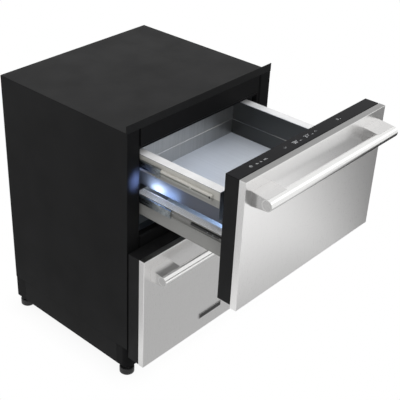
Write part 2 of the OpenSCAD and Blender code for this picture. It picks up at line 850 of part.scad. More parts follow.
module drain_pan() {
    tray_w = 120;
    tray_d = 96;
    tray_h = 22;
    tray_t = 2;
    z0 = comp_z1 + fit;
    color([0.22, 0.22, 0.23]) placed() {
        difference() {
            block([comp_x - tray_w / 2, comp_y - tray_d / 2, z0],
                  [comp_x + tray_w / 2, comp_y + tray_d / 2, z0 + tray_h]);
            block([comp_x - tray_w / 2 + tray_t, comp_y - tray_d / 2 + tray_t, z0 + tray_t],
                  [comp_x + tray_w / 2 - tray_t, comp_y + tray_d / 2 - tray_t, z0 + tray_h + over]);
        }
        // Drain tube from the evaporator space
        translate([comp_x, drain_y, z0 + tray_t - play]) difference() {
            cylinder(r = drain_r, h = ceiling_z - z0 - tray_t);
            translate([0, 0, tray_h / 4]) cylinder(r = drain_r - drain_wall, h = tray_h * 4);
            translate([0, 0, tray_h / 3]) rotate([90, 0, 0])
                cylinder(r = drain_r / 2, h = 4 * drain_r, center = true);
        }
    }
}

// The compressor's relay box, and the control box on the side wall
module control_boxes() {
    relay_w = 20;
    relay_d = 44;
    relay_h = 52;
    relay_x = comp_x + comp_r + fit;
    relay_sink = 6;
    box_w = 46;
    box_d = 110;
    box_h = 100;
    lid_t = 2;
    y0 = machine_y0 + 20;
    z1 = ceiling_z - 12;
    x1 = machine_x;
    color([0.30, 0.31, 0.32]) placed() {
        difference() {
            block([relay_x - relay_sink, comp_y - relay_d / 2, comp_z0 + relay_h / 2],
                  [relay_x + relay_w, comp_y + relay_d / 2, comp_z0 + 1.5 * relay_h]);
            translate([comp_x, comp_y, comp_z0]) cylinder(r = comp_r + fit, h = 2 * relay_h);
        }
        block([x1 - box_w, y0, z1 - box_h], [x1, y0 + box_d, z1]);
        block([x1 - box_w + lid_t, y0 - lid_t, z1 - box_h - lid_t],
              [x1 - lid_t, y0 + box_d + lid_t, z1 + lid_t]);
    }
}

module power_inlet() {
    wall = 2;
    depth = 26;
    flange = 4;
    pin_w = 5;
    pin_gap = 11;
    pin_share = 0.7;
    color([0.06, 0.06, 0.06]) placed() {
        difference() {
            union() {
                block([inlet_x - inlet_w / 2, cover_y1 - depth, inlet_z - inlet_h / 2],
                      [inlet_x + inlet_w / 2, cover_y1 + play, inlet_z + inlet_h / 2]);
                block([inlet_x - inlet_w / 2 - flange, cover_y1 + play, inlet_z - inlet_h / 2 - flange],
                      [inlet_x + inlet_w / 2 + flange, cab_d, inlet_z + inlet_h / 2 + flange]);
            }
            block([inlet_x - inlet_w / 2 + 3 * wall, cover_y1 - depth + wall, inlet_z - inlet_h / 2 + wall],
                  [inlet_x + inlet_w / 2 - 3 * wall, cab_d + over, inlet_z + inlet_h / 2 - wall]);
        }
        for (x = [-pin_gap, 0, pin_gap])
            translate([inlet_x + x - wall / 2, cover_y1 - depth + wall - fit, inlet_z - pin_w / 2])
                cube([wall, depth * pin_share, pin_w]);
    }
}

// Cold space

module evaporator() {
    foot_w = 14;
    color([0.74, 0.76, 0.78]) placed() {
        translate([0, evap_y0, evap_z0]) fin_coil(evap_w, evap_d, evap_h, 26, 7);
        // Side hangers that stand on the step
        for (x = [-1, 1])
            translate([x * evap_w / 2 - foot_w / 2, evap_y0, machine_z1 + fit])
                cube([foot_w, evap_d, evap_z0 - machine_z1]);
    }
}

module evaporator_cover() {
    slot_h = 7;
    slot_n = 5;
    slot_share = 0.6;
    slot_w = duct_x * slot_share;
    guard_ring = 6;
    color([0.84, 0.86, 0.88]) placed() {
        difference() {
            block([-duct_x, duct_y0, machine_z1 + fit], [duct_x, liner_y1, duct_z1]);
            block([-duct_x + duct_t, duct_y0 + duct_t, machine_z1 - over],
                  [duct_x - duct_t, liner_y1 + over, duct_z1 - duct_t]);
            for (x = [-1, 1], i = [1 : slot_n])
                translate([x * duct_x / 2, duct_y0, machine_z1 + i * 2 * slot_h])
                    cube([slot_w, 4 * duct_t, slot_h], center = true);
            for (i = [1 : slot_n])
                translate([0, duct_y0, evap_fan_z]) rotate([-90, 0, 0]) difference() {
                    translate([0, 0, -2 * duct_t])
                        cylinder(r = (2 + i) * guard_ring, h = 4 * duct_t);
                    translate([0, 0, -3 * duct_t])
                        cylinder(r = (1.5 + i) * guard_ring, h = 6 * duct_t);
                    cube([8 * slot_w, 2 * duct_t, 9 * duct_t], center = true);
                    cube([2 * duct_t, 8 * slot_w, 9 * duct_t], center = true);
                }
        }
        // Fan motor, on the inner side of the guard
        translate([0, duct_y0 + duct_t - play, evap_fan_z]) rotate([-90, 0, 0]) {
            cylinder(r = evap_fan_hub_r, h = evap_fan_y0 - duct_y0 - 2 * duct_t);
            cylinder(r = shaft_r, h = evap_fan_y0 - duct_y0 - duct_t + evap_fan_d * shaft_share);
        }
    }
}

module evaporator_fan() {
    color([0.86, 0.88, 0.90]) placed()
        translate([0, evap_fan_y0, evap_fan_z]) fan(evap_fan_r, evap_fan_hub_r, evap_fan_d, 7);
}

module led_lamps() {
    lamp_in = 121;
    lamp_x = open_x - lamp_in;
    lamp_d = 12;
    lamp_h = 9;
    color([0.75, 0.88, 1.0]) placed() {
        block([-lamp_x, liner_y0, header_z0 - lamp_h], [lamp_x, liner_y0 + lamp_d, header_z0]);
        block([-lamp_x, liner_y0, rail_z0], [lamp_x, liner_y0 + lamp_d, rail_z0 + lamp_h]);
    }
}

// Telescopic slides: cabinet member, middle member with its two ball cages, drawer member

// C profile in the XZ plane with its web at xw and its flanges reaching to xl
module channel(xw, xl, h) {
    dir = xl > xw ? 1 : -1;
    x0 = min(xw, xw + dir * member_t);
    f0 = min(xw, xl);
    translate([x0, -h / 2]) square([member_t, h]);
    translate([f0, h / 2 - member_t]) square([abs(xl - xw), member_t]);
    translate([f0, -h / 2]) square([abs(xl - xw), member_t]);
}

module outer_member(y0, l, z) {
    hole_r = 3;
    hole_in = 30;
    translate([0, 0, z]) difference() {
        along_y(y0, y0 + l) channel(slide_x1, outer_lip_x, slide_h);
        for (y = [y0 + hole_in, y0 + l - hole_in])
            translate([outer_lip_x, y, 0]) rotate([0, 90, 0]) cylinder(r = hole_r, h = slide_gap);
    }
}

module middle_member(y0, l, z) {
    cage_l = 110;
    ball_r = 0.9;
    ball_n = 7;
    cage_x0 = mid_lip_x + 2 * fit;
    cage_x1 = mid_x1 - member_t - 2 * fit;
    stop_w = 2;
    translate([0, 0, z]) {
        along_y(y0, y0 + l) channel(mid_x1, mid_lip_x, mid_h);
        // Ball cages: the outer pair runs in the cabinet member, the inner pair in the drawer's
        for (s = [-1, 1]) {
            outer_z = s * (mid_h / 2 + (ball_gap - fit) / 2 - play);
            inner_z = s * (mid_h / 2 - member_t - (ball_gap - fit) / 2 + play);
            translate([(cage_x0 + cage_x1) / 2, y0 + l - cage_l / 2, outer_z])
                cube([cage_x1 - cage_x0, cage_l, ball_gap - fit], center = true);
            translate([(cage_x0 + cage_x1) / 2, y0 + cage_l / 2, inner_z])
                cube([cage_x1 - cage_x0, cage_l, ball_gap - fit], center = true);
            for (i = [0 : ball_n - 1]) {
                step_y = (i + 0.5) * cage_l / ball_n;
                translate([cage_x0, y0 + l - step_y, outer_z])
                    rotate([0, 90, 0]) cylinder(r = ball_r, h = 2 * fit, center = true, $fn = 16);
                translate([cage_x0, y0 + step_y, inner_z])
                    rotate([0, 90, 0]) cylinder(r = ball_r, h = 2 * fit, center = true, $fn = 16);
            }
        }
        // Bright end stop at the front
        block([mid_lip_x, y0, -mid_h / 2], [mid_x1, y0 + stop_w, -inner_h / 2 - fit]);
        block([mid_lip_x, y0, inner_h / 2 + fit], [mid_x1, y0 + stop_w, mid_h / 2]);
    }
}

module inner_member(y0, l, z) {
    translate([0, 0, z]) difference() {
        along_y(y0, y0 + l) channel(slide_x0, inner_lip_x, inner_h);
        for (y = screw_at)
            translate([slide_x0 - over, y0 + y, 0])
                rotate([0, 90, 0]) cylinder(r = slide_screw_r + play, h = 2 * over + member_t);
    }
}

module slide_screw() {
    sink = 4;
    rotate([0, 90, 0]) {
        translate([0, 0, member_t + play]) cylinder(r = slide_head_r, h = slide_head_h, $fn = 24);
        translate([0, 0, -sink]) cylinder(r = slide_screw_r, h = sink + member_t + 2 * play, $fn = 24);
    }
}

module screw_row(z) {
    for (y = screw_at)
        translate([slide_x0, slide_setback + y, z]) slide_screw();
}

module slide_screws() {
    color([0.62, 0.63, 0.65]) drawn() both_sides() screw_row(upper_slide_z);
}

module lower_slide_screws() {
    color([0.62, 0.63, 0.65]) placed() both_sides() screw_row(lower_slide_z);
}

module bin_slide_outer() {
    color([0.66, 0.68, 0.70]) placed() both_sides()
        outer_member(bin_slide_setback, bin_slide_l, bin_slide_z);
}

module bin_slide_mid() {
    color([0.74, 0.76, 0.78]) half_drawn() both_sides()
        middle_member(bin_slide_setback + mid_short, bin_slide_l - mid_short, bin_slide_z);
}

// The bin's drawer member is closed by two lips that leave a slit, with a catch across it
module bin_slide_inner() {
    slit_h = 4;
    catch_l = 6;
    catch_in = 71;
    y0 = bin_slide_setback;
    y1 = y0 + bin_slide_l;
    lip_x0 = inner_lip_x - member_t;
    color([0.66, 0.68, 0.70]) drawn() both_sides() {
        inner_member(y0, bin_slide_l, bin_slide_z);
        translate([0, 0, bin_slide_z]) {
            block([lip_x0, y0, slit_h / 2], [inner_lip_x, y1, inner_h / 2]);
            block([lip_x0, y0, -inner_h / 2], [inner_lip_x, y1, -slit_h / 2]);
            block([lip_x0, y0 + catch_in, -slit_h / 2 - over],
                  [inner_lip_x, y0 + catch_in + catch_l, slit_h / 2 + over]);
        }
    }
}

module drawer_slide_outer() {
    color([0.66, 0.68, 0.70]) placed() both_sides() {
        outer_member(slide_setback, slide_l, upper_slide_z);
        outer_member(slide_setback, slide_l, lower_slide_z);
    }
}

module upper_slide_mid() {
    color([0.74, 0.76, 0.78]) half_drawn() both_sides()
        middle_member(slide_setback + mid_short, slide_l - mid_short, upper_slide_z);
}

module upper_slide_inner() {
    color([0.66, 0.68, 0.70]) drawn() both_sides()
        inner_member(slide_setback, slide_l, upper_slide_z);
}

module lower_slide_mid() {
    color([0.74, 0.76, 0.78]) placed() both_sides()
        middle_member(slide_setback + mid_short, slide_l - mid_short, lower_slide_z);
}

module lower_slide_inner() {
    color([0.66, 0.68, 0.70]) placed() both_sides()
        inner_member(slide_setback, slide_l, lower_slide_z);
}

// Upper bin: a folded pan whose rim lies on two ribbed side rails

module bin_pan() {
    crease_w = 3;
    crease_drop = 64;
    crease_z = bin_z1 - crease_drop;
    crease_side = crease_w / sqrt(2);
    color([0.78, 0.78, 0.77]) drawn() {
        difference() {
            block([-bin_in_x, bin_y0, bin_z0], [bin_in_x, bin_wall_y1, bin_z1]);
            block([-bin_in_x + skin_t, bin_y0 + skin_t, bin_z0 + skin_t],
                  [bin_in_x - skin_t, bin_wall_y1 - skin_t, bin_z1 + over]);
        }
        // Pressed crease across the rear wall
        translate([0, bin_wall_y1 - skin_t, crease_z]) rotate([45, 0, 0])
            cube([2 * (bin_in_x - crease_w), crease_side, crease_side], center = true);
        both_sides() {
            // Rim, turned out over the side rail
            block([bin_in_x - skin_t, bin_y0, bin_z1 - skin_t], [box_x, bin_y1, bin_z1]);
            // Pressed crease along the side wall
            translate([bin_in_x - skin_t, 0, crease_z]) rotate([90, 0, 0]) rotate([0, 0, 45])
                translate([0, 0, -bin_wall_y1 + crease_w])
                    linear_extrude(bin_wall_y1 - bin_y0 - 2 * crease_w)
                        square(crease_side, center = true);
        }
        block([-box_x, bin_y0, bin_z1 - bin_front_h], [box_x, bin_y0 + skin_t, bin_z1]);
    }
}

module bin_rails() {
    rib_n = 9;
    rib_d = 0.8;
    rail_z1 = bin_z1 - skin_t - play;
    rail_z0 = bin_z1 - bin_rail_h;
    dz = bin_rail_h / (rib_n + 1);
    y0 = bin_y0 + skin_t + play;
    color([0.68, 0.66, 0.60]) drawn() both_sides() difference() {
        along_y(y0, bin_y1) {
            translate([box_x - rail_t, rail_z0]) square([rail_t, rail_z1 - rail_z0]);
            translate([bin_in_x + fit, rail_z1 - rail_t]) square([bin_rim_w - fit, rail_t]);
        }
        for (i = [1 : rib_n])
            block([box_x - rib_d, y0 - over, rail_z0 + i * dz - rib_d / 2],
                  [box_x + over, bin_y1 + over, rail_z0 + i * dz + rib_d / 2]);
    }
}

module bin_shelf() {
    gap = 2;
    fold_h = 14;
    x1 = bin_in_x - skin_t - gap;
    color([0.62, 0.62, 0.62]) drawn() {
        block([-x1, bin_wall_y1 + gap, bin_z1 - 2 * skin_t], [x1, bin_y1, bin_z1 - skin_t]);
        block([-x1, bin_y1 - skin_t, bin_z1 - fold_h], [x1, bin_y1, bin_z1 - skin_t]);
        block([-x1, bin_wall_y1 + play, bin_z1 - fold_h],
              [x1, bin_wall_y1 + play + skin_t, bin_z1 - fold_h + skin_t]);
        block([-x1, bin_wall_y1 + play, bin_z1 - fold_h],
              [x1, bin_y1, bin_z1 - fold_h + skin_t]);
    }
}

// Baskets: a pan with a flat grooved rim and a skirt outside each side

module basket_rim(z1, y0, y1) {
    groove_d = 0.6;
    groove_n = 4;
    pitch = basket_rim_w / (groove_n + 1);
    rim_t = 3;
    along_y(y0, y1) difference() {
        union() {
            translate([basket_in_x - skin_t, z1 - rim_t]) square([box_x - basket_in_x + skin_t, rim_t]);
            translate([box_x - rim_t, z1 - skirt_h]) square([rim_t, skirt_h]);
        }
        for (i = [1 : groove_n])
            translate([basket_in_x + i * pitch, z1]) square(2 * groove_d, center = true);
    }
}

module basket_holes(z) {
    for (y = screw_at)
        translate([box_x - 5 * rail_t, slide_setback + y, z])
            rotate([0, 90, 0]) cylinder(r = slide_screw_r + play, h = 6 * rail_t);
}

module upper_basket() {
    y1 = basket_y0 + basket_l;
    z0 = basket_z1 - upper_basket_depth;
    color([0.50, 0.52, 0.50]) drawn() {
        difference() {
            block([-basket_in_x, basket_y0, z0], [basket_in_x, y1, basket_z1]);
            block([-basket_in_x + skin_t, basket_y0 + skin_t, z0 + skin_t],
                  [basket_in_x - skin_t, y1 - skin_t, basket_z1 + over]);
        }
        both_sides() difference() {
            basket_rim(basket_z1, basket_y0, y1);
            basket_holes(upper_slide_z);
        }
    }
}

module lower_basket() {
    y1 = basket_y0 + basket_l;
    deep_y1 = basket_y0 + lower_pan_l;
    z1 = lower_basket_z1;
    z0 = z1 - lower_basket_depth;
    step_z = machine_z1 + 14;
    color([0.50, 0.52, 0.50]) placed() {
        difference() {
            union() {
                block([-basket_in_x, basket_y0, z0], [basket_in_x, deep_y1, z1]);
                block([-basket_in_x, basket_y0, step_z], [basket_in_x, y1, z1]);
            }
            block([-basket_in_x + skin_t, basket_y0 + skin_t, z0 + skin_t],
                  [basket_in_x - skin_t, deep_y1 - skin_t, z1 + over]);
            block([-basket_in_x + skin_t, basket_y0 + skin_t, step_z + skin_t],
                  [basket_in_x - skin_t, y1 - skin_t, z1 + over]);
        }
        both_sides() {
            difference() {
                basket_rim(z1, basket_y0, y1);
                basket_holes(lower_slide_z);
            }
            // Pad that carries the basket on its front
            block([basket_in_x - basket_rim_w, core_y1 + play, z1 - skirt_h],
                  [basket_in_x, basket_y0 + skin_t, z1 - pad_drop]);
        }
    }
}

// Drawer fronts

// Insulated core with the neck that fills the facing and a dished rear side
module core(z0, z1, f0, f1) {
    dish_d = 6;
    dish_in = 60;
    neck_z0 = max(f0, z0) + neck_in;
    neck_z1 = min(f1, z1) - neck_in;
    neck_x = front_w / 2 - neck_in;
    difference() {
        union() {
            block([-core_x, core_y0, z0], [core_x, core_y1, z1]);
            block([-neck_x, facing_y0 + skin_t + fit, neck_z0], [neck_x, core_y0 + fit, neck_z1]);
        }
        block([-core_x + dish_in, core_y1 - dish_d, z0 + dish_in],
              [core_x - dish_in, core_y1 + over, z1 - dish_in]);
    }
}

// Steel facing: a pan with rounded edges, open to the rear
module facing(z0, z1) {
    edge_r = 1.5;
    difference() {
        soft_block([-front_w / 2, facing_y0, z0],
                   [front_w, facing_d + 2 * edge_r, z1 - z0], edge_r);
        block([-front_w / 2 + skin_t, facing_y0 + skin_t, z0 + skin_t],
              [front_w / 2 - skin_t, facing_y1 + 4 * edge_r, z1 - skin_t]);
        block([-front_w, facing_y1, z0 - over], [front_w, facing_y1 + 4 * edge_r, z1 + over]);
    }
}

// Magnetic seal: a foot strip and a narrower sealing strip all round
module gasket(x, z0, z1) {
    foot_t = gasket_t / 2;
    rib_in = gasket_w / 4;
    difference() {
        union() {
            block([-x, core_y1, z0], [x, core_y1 + foot_t, z1]);
            block([-x + rib_in, core_y1, z0 + rib_in], [x - rib_in, core_y1 + gasket_t, z1 - rib_in]);
        }
        block([-x + gasket_w - rib_in, core_y1 - over, z0 + gasket_w - rib_in],
              [x - gasket_w + rib_in, core_y1 + gasket_t + over, z1 - gasket_w + rib_in]);
        block([-x + gasket_w, core_y1 - over, z0 + gasket_w],
              [x - gasket_w, core_y1 + gasket_t + over, z1 - gasket_w]);
    }
}

module handle_bar(z1) {
    translate([0, bar_y, z1 - handle_drop - bracket_h / 2]) rotate([0, 90, 0]) difference() {
        cylinder(r = bar_r, h = handle_l, center = true);
        cylinder(r = bar_r - bar_wall, h = handle_l + 2 * over, center = true);
    }
}

// Bracket that tapers from the facing to the bar, with a saddle, and the bar's end plug
module handle_brackets(z1) {
    reach = sqrt(bar_out * bar_out + bracket_h * bracket_h / 4);
    tangent = atan2(bracket_h / 2, bar_out) + acos(bar_r / reach);
    tip_y = -bar_out + bar_r * cos(tangent);
    tip_z = bar_r * sin(tangent);
    plug_l = 10;
    hole_r = bar_r - bar_wall - play;
    translate([0, facing_y0 - play, z1 - handle_drop - bracket_h / 2]) both_sides() {
        along_x(handle_l / 2 - bracket_l, handle_l / 2) difference() {
            polygon([[0, -bracket_h / 2], [0, bracket_h / 2], [tip_y, tip_z],
                     [-bar_out, 0], [tip_y, -tip_z]]);
            translate([play - bar_out, 0]) circle(bar_r + play);
        }
        translate([handle_l / 2 - plug_l, play - bar_out, 0])
            rotate([0, 90, 0]) cylinder(r = hole_r, h = plug_l);
    }
}

module upper_core() {
    color([0.05, 0.05, 0.05]) drawn()
        core(up_z0 + core_lift, up_z1 - strip_t - play, up_z0, up_z1);
}

module upper_gasket() {
    color([0.25, 0.25, 0.26]) drawn()
        gasket(gasket_x, up_z0 + core_lift + fit, cab_z1 - 2 * top_t);
}

module upper_facing() {
    color([0.72, 0.72, 0.70]) drawn() facing(up_z0, up_z1);
}

module control_strip() {
    color([0.03, 0.03, 0.03]) drawn()
        block([-core_x, core_y0, up_z1 - strip_t], [core_x, core_y1, up_z1]);
}

module upper_handle_bar() {
    color([0.78, 0.78, 0.77]) drawn() handle_bar(up_z1);
}

module upper_handle_brackets() {
    color([0.78, 0.78, 0.77]) drawn() handle_brackets(up_z1);
}

module lower_core() {
    edge = 1;
    color([0.05, 0.05, 0.05]) placed() core(low_z0 + edge, low_z1 - edge, low_z0, low_z1);
}

module lower_gasket() {
    color([0.25, 0.25, 0.26]) placed()
        gasket(gasket_x, base_z1 + 2 * step_in, low_z1 - step_in);
}

module lower_facing() {
    color([0.72, 0.72, 0.70]) placed() facing(low_z0, low_z1);
}

module lower_handle_bar() {
    color([0.78, 0.78, 0.77]) placed() handle_bar(low_z1);
}

module lower_handle_brackets() {
    color([0.78, 0.78, 0.77]) placed() handle_brackets(low_z1);
}

module badge_plate() {
    badge_w = 102;
    badge_h = 18;
    badge_t = 1.4;
    badge_up = 47;
    badge_z = low_z0 + badge_up;
    color([0.80, 0.80, 0.79]) placed()
        soft_block([-badge_w / 2, facing_y0 - play - badge_t, badge_z],
                   [badge_w, badge_t, badge_h], badge_t / 3);
}

// Spacers that join the upper basket to its front
module basket_brackets() {
    in_x = basket_in_x + 4 * fit;
    top_gap = pad_drop;
    bracket_z0 = basket_z1 - skirt_h + top_gap;
    tab_t = 2;
    color([0.08, 0.08, 0.08]) drawn() both_sides() {
        block([in_x - basket_rim_w, core_y1 + play, bracket_z0],
              [box_x - play, basket_y0 - play, basket_z1 - top_gap]);
        block([in_x, core_y1 + play, bracket_z0],
              [in_x + tab_t, basket_y0 + top_gap, basket_z1 - 2 * top_gap]);
    }
}

side_panels();
top_panel();
rear_panel();
top_lip();
front_stiles();
front_rails();
liner_walls();
liner_floor();
foam_insulation();
base_pan();
corner_posts();
kick_grille();
rear_cover();
cover_screws();
compressor();
compressor_mounts();
condenser();
fan_shroud();
condenser_fan();
filter_drier();
refrigerant_tubes();
drain_pan();
control_boxes();
power_inlet();
evaporator();
evaporator_cover();
evaporator_fan();
led_lamps();
foot_front_left();
foot_front_right();
foot_rear_left();
foot_rear_right();
bin_slide_outer();
bin_slide_mid();
bin_slide_inner();
bin_pan();
bin_rails();
bin_shelf();
drawer_slide_outer();
upper_slide_mid();
upper_slide_inner();
upper_basket();
basket_brackets();
slide_screws();
upper_core();
upper_gasket();
upper_facing();
control_strip();
upper_handle_bar();
upper_handle_brackets();
lower_slide_mid();
lower_slide_inner();
lower_slide_screws();
lower_basket();
lower_core();
lower_gasket();
lower_facing();
lower_handle_bar();
lower_handle_brackets();
badge_plate();
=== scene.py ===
"""Looks, studio and camera for the drawer refrigerator.

Lengths are metres, in the frame of the CAD model.
"""

import math

import bpy
from mathutils import Matrix, Vector


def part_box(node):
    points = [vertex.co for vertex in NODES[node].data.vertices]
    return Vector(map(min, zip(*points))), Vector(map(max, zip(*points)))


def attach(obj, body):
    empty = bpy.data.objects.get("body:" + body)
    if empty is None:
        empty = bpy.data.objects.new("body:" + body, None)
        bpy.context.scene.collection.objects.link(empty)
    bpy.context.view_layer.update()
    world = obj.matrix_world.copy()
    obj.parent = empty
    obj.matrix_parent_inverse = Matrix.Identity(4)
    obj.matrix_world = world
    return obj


MM = 0.001

# Camera, as solved from the photograph's edges
CAMERA_AT = (-1.7488, -1.51055, 1.9009)
CAMERA_YAW = 45.64
CAMERA_PITCH = 31.87
CAMERA_ROLL = 0.62
CAMERA_LENS = 79.99
CAMERA_SENSOR = 36.0
CAMERA_SHIFT = (0.14475, 0.021)
CAMERA_REACH = (0.05, 60.0)

# Room and floor
WHITE = (1.0, 1.0, 1.0)
ROOM_COLOR = (0.97, 0.98, 1.0)
ROOM_LIGHT = 0.50
FLOOR_SIZE = 14.0
FLOOR_COLOR = (0.86, 0.86, 0.86)
FLOOR_SECOND = (0.84, 0.84, 0.84)
CONTACT_REACH = 0.08
CONTACT_SHADE = 0.90

# Heights of the cards on the floor: the wide ones below, and the two before the fronts above
LOWER_CARD = 6 * MM
UPPER_CARD = 8 * MM

# Light of the lamps under the header
LED_COLOR = (0.42, 0.62, 1.0)
LED_SPILL = (0.32, 0.46, 1.0)
LED_PALE = (0.72, 0.84, 1.0)
LAMP_GLOW = 2.0

# The part of a noise that is spread over a whole mix
BROAD = (0.3, 0.7)
SHARP = (0.35, 0.65)

# Scale of a grain's noise along it, as a share of the scale across it
GRAIN_STRETCH = 0.02

# Rays that find how far an edge is rounded
EDGE_SAMPLES = 4

# Small parts that only the scene shows
RIM_WIDTH = 28 * MM
BIN_SIDE = 212 * MM
COVER_SPAN = (-318 * MM, -221 * MM)
COVER_SCREWS = (-299 * MM, -280 * MM)
HEM_RADIUS = 1.5 * MM
BADGE_EDGE = 1.3 * MM
CIRCLE_SIDES = 28

# Signs on the touch strip, by their places along X
MARK_HEIGHT = 0.12 * MM
MARK_LINE = 1.0 * MM
ARROW_SIZE = 4.4 * MM
DIGIT_SIZE = (5.8 * MM, 10.2 * MM)
DIGIT_PARTS = {"3": "abcdg", "7": "abc", "8": "abcdefg"}
SWITCH_X = -232 * MM
WORD_SPANS = ((-214 * MM, -206 * MM), (-198 * MM, -192 * MM), (-184 * MM, -171 * MM))
DOWN_X = -95 * MM
READINGS = ((-62 * MM, "38"), (-12 * MM, "37"))
UP_X = 34 * MM
LAMP_X = 134 * MM

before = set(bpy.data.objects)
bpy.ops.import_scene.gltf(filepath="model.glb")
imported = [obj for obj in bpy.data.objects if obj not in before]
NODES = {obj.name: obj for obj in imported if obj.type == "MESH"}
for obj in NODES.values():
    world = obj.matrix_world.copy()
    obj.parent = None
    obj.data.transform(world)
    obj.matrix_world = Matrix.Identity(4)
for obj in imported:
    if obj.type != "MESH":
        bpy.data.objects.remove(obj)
bpy.context.view_layer.update()


# Material building blocks


def show_mix(tree, share, first, second, output):
    """Puts a mix of two shaders on the surface of an output node."""
    mix = tree.nodes.new("ShaderNodeMixShader")
    tree.links.new(share, mix.inputs[0])
    tree.links.new(first, mix.inputs[1])
    tree.links.new(second, mix.inputs[2])
    tree.links.new(mix.outputs[0], tree.nodes[output].inputs["Surface"])


class Finish:
    """A node material around one Principled shader, with textures in the object's own space."""

    def __init__(self, name, color, metallic=0.0, roughness=0.5):
        self.material = bpy.data.materials.new(name)
        self.material.use_nodes = True
        self.nodes = self.material.node_tree.nodes
        self.links = self.material.node_tree.links
        self.shader = self.nodes["Principled BSDF"]
        self.set("Base Color", (*color, 1.0))
        self.set("Metallic", metallic)
        self.set("Roughness", roughness)
        self.place = self.nodes.new("ShaderNodeTexCoord").outputs["Object"]
        self.normal = None

    def set(self, socket, value):
        self.shader.inputs[socket].default_value = value

    def drive(self, socket, output):
        self.links.new(output, self.shader.inputs[socket])

    def noise(self, scale, stretch=(1.0, 1.0, 1.0), detail=2.0, roughness=0.5):
        mapping = self.nodes.new("ShaderNodeMapping")
        mapping.inputs["Scale"].default_value = stretch
        self.links.new(self.place, mapping.inputs["Vector"])
        texture = self.nodes.new("ShaderNodeTexNoise")
        texture.inputs["Scale"].default_value = scale
        texture.inputs["Detail"].default_value = detail
        texture.inputs["Roughness"].default_value = roughness
        self.links.new(mapping.outputs["Vector"], texture.inputs["Vector"])
        return texture.outputs["Fac"]

    def grain(self, axis, scale, detail=3.0):
        """Noise in long fine streaks along one axis."""
        stretch = tuple(GRAIN_STRETCH if name == axis else 1.0 for name in "XYZ")
        return self.noise(scale, stretch, detail=detail, roughness=0.6)

    def remap(self, value, low, high, out_low, out_high):
        node = self.nodes.new("ShaderNodeMapRange")
        node.inputs["From Min"].default_value = low
        node.inputs["From Max"].default_value = high
        node.inputs["To Min"].default_value = out_low
        node.inputs["To Max"].default_value = out_high
        self.links.new(value, node.inputs["Value"])
        return node.outputs["Result"]

    def spread(self, value, span):
        """0 at the low end of the span and below it, 1 at its high end and above it."""
        return self.remap(value, span[0], span[1], 0.0, 1.0)

    def calculate(self, operation, first, second):
        node = self.nodes.new("ShaderNodeMath")
        node.operation = operation
        for socket, value in zip(node.inputs, (first, second)):
            if isinstance(value, float):
                socket.default_value = value
            else:
                self.links.new(value, socket)
        return node.outputs["Value"]

    def mixed(self, share, first, second):
        """A colour between two colours, each a constant or an output."""
        node = self.nodes.new("ShaderNodeMix")
        node.data_type = "RGBA"
        sockets = [s for s in node.inputs if s.type == "RGBA"]
        for socket, value in zip(sockets, (first, second)):
            if isinstance(value, tuple):
                socket.default_value = (*value, 1.0)
            else:
                self.links.new(value, socket)
        factor = [s for s in node.inputs if s.name == "Factor" and s.type == "VALUE"][0]
        self.links.new(share, factor)
        return [s for s in node.outputs if s.type == "RGBA"][0]

    def tint(self, share, first, second):
        self.drive("Base Color", self.mixed(share, first, second))

    def vary_roughness(self, share, span):
        self.drive("Roughness", self.remap(share, BROAD[0], BROAD[1], span[0], span[1]))

    def part_of(self, vector, axis):
        node = self.nodes.new("ShaderNodeSeparateXYZ")
        self.links.new(vector, node.inputs[0])
        return node.outputs[axis]

    def along(self, axis):
        return self.part_of(self.place, axis)

    def away(self, axis):
        """Distance from the object's origin along an axis, the same on both sides."""
        return self.calculate("ABSOLUTE", self.along(axis), 0.0)

    def facing(self, axis):
        """1 where the surface faces along the axis, either way, and 0 where it stands across it."""
        geometry = self.nodes.new("ShaderNodeNewGeometry")
        part = self.part_of(geometry.outputs["True Normal"], axis)
        return self.calculate("MULTIPLY", part, part)

    def round_edges(self, radius):
        node = self.nodes.new("ShaderNodeBevel")
        node.samples = EDGE_SAMPLES
        node.inputs["Radius"].default_value = radius
        self.normal = node.outputs["Normal"]
        self.drive("Normal", self.normal)

    def bump(self, height, distance, strength):
        node = self.nodes.new("ShaderNodeBump")
        node.inputs["Distance"].default_value = distance
        node.inputs["Strength"].default_value = strength
        self.links.new(height, node.inputs["Height"])
        if self.normal:
            self.links.new(self.normal, node.inputs["Normal"])
        self.normal = node.outputs["Normal"]
        self.drive("Normal", self.normal)

    def brush_along(self, axis, amount):
        """Stretches highlights across a grain that runs along one axis."""
        node = self.nodes.new("ShaderNodeTangent")
        node.direction_type = "RADIAL"
        node.axis = axis
        self.set("Anisotropic", amount)
        self.drive("Tangent", node.outputs["Tangent"])

    def show(self, share, first, second):
        """Puts a mix of two shaders on the surface."""
        show_mix(self.material.node_tree, share, first, second, "Material Output")


def assign(finish, *names):
    for name in names:
        materials = NODES[name].data.materials
        materials.clear()
        materials.append(finish.material)


# Finishes


def powder_coat(name, color, second, rough=(0.42, 0.52), grain=900.0, shine=0.04):
    """Painted sheet in two close tones, with a fine grain."""
    finish = Finish(name, color)
    finish.set("Specular IOR Level", shine)
    finish.round_edges(radius=0.8 * MM)
    cloud = finish.noise(scale=7.0, detail=4.0)
    finish.tint(finish.spread(cloud, SHARP), color, second)
    finish.vary_roughness(finish.noise(scale=11.0, detail=3.0), rough)
    finish.bump(finish.noise(scale=grain), distance=0.05 * MM, strength=0.5)
    return finish


def skin(name, color, edge, shine):
    """A coat or plastic without its tones, and the cloud that its tones follow."""
    finish = Finish(name, color)
    finish.set("Specular IOR Level", shine)
    finish.round_edges(radius=edge)
    return finish, finish.noise(scale=24.0, detail=5.0)


def mould_grain(finish, distance, strength):
    finish.bump(finish.noise(scale=1400.0, detail=3.0), distance, strength)


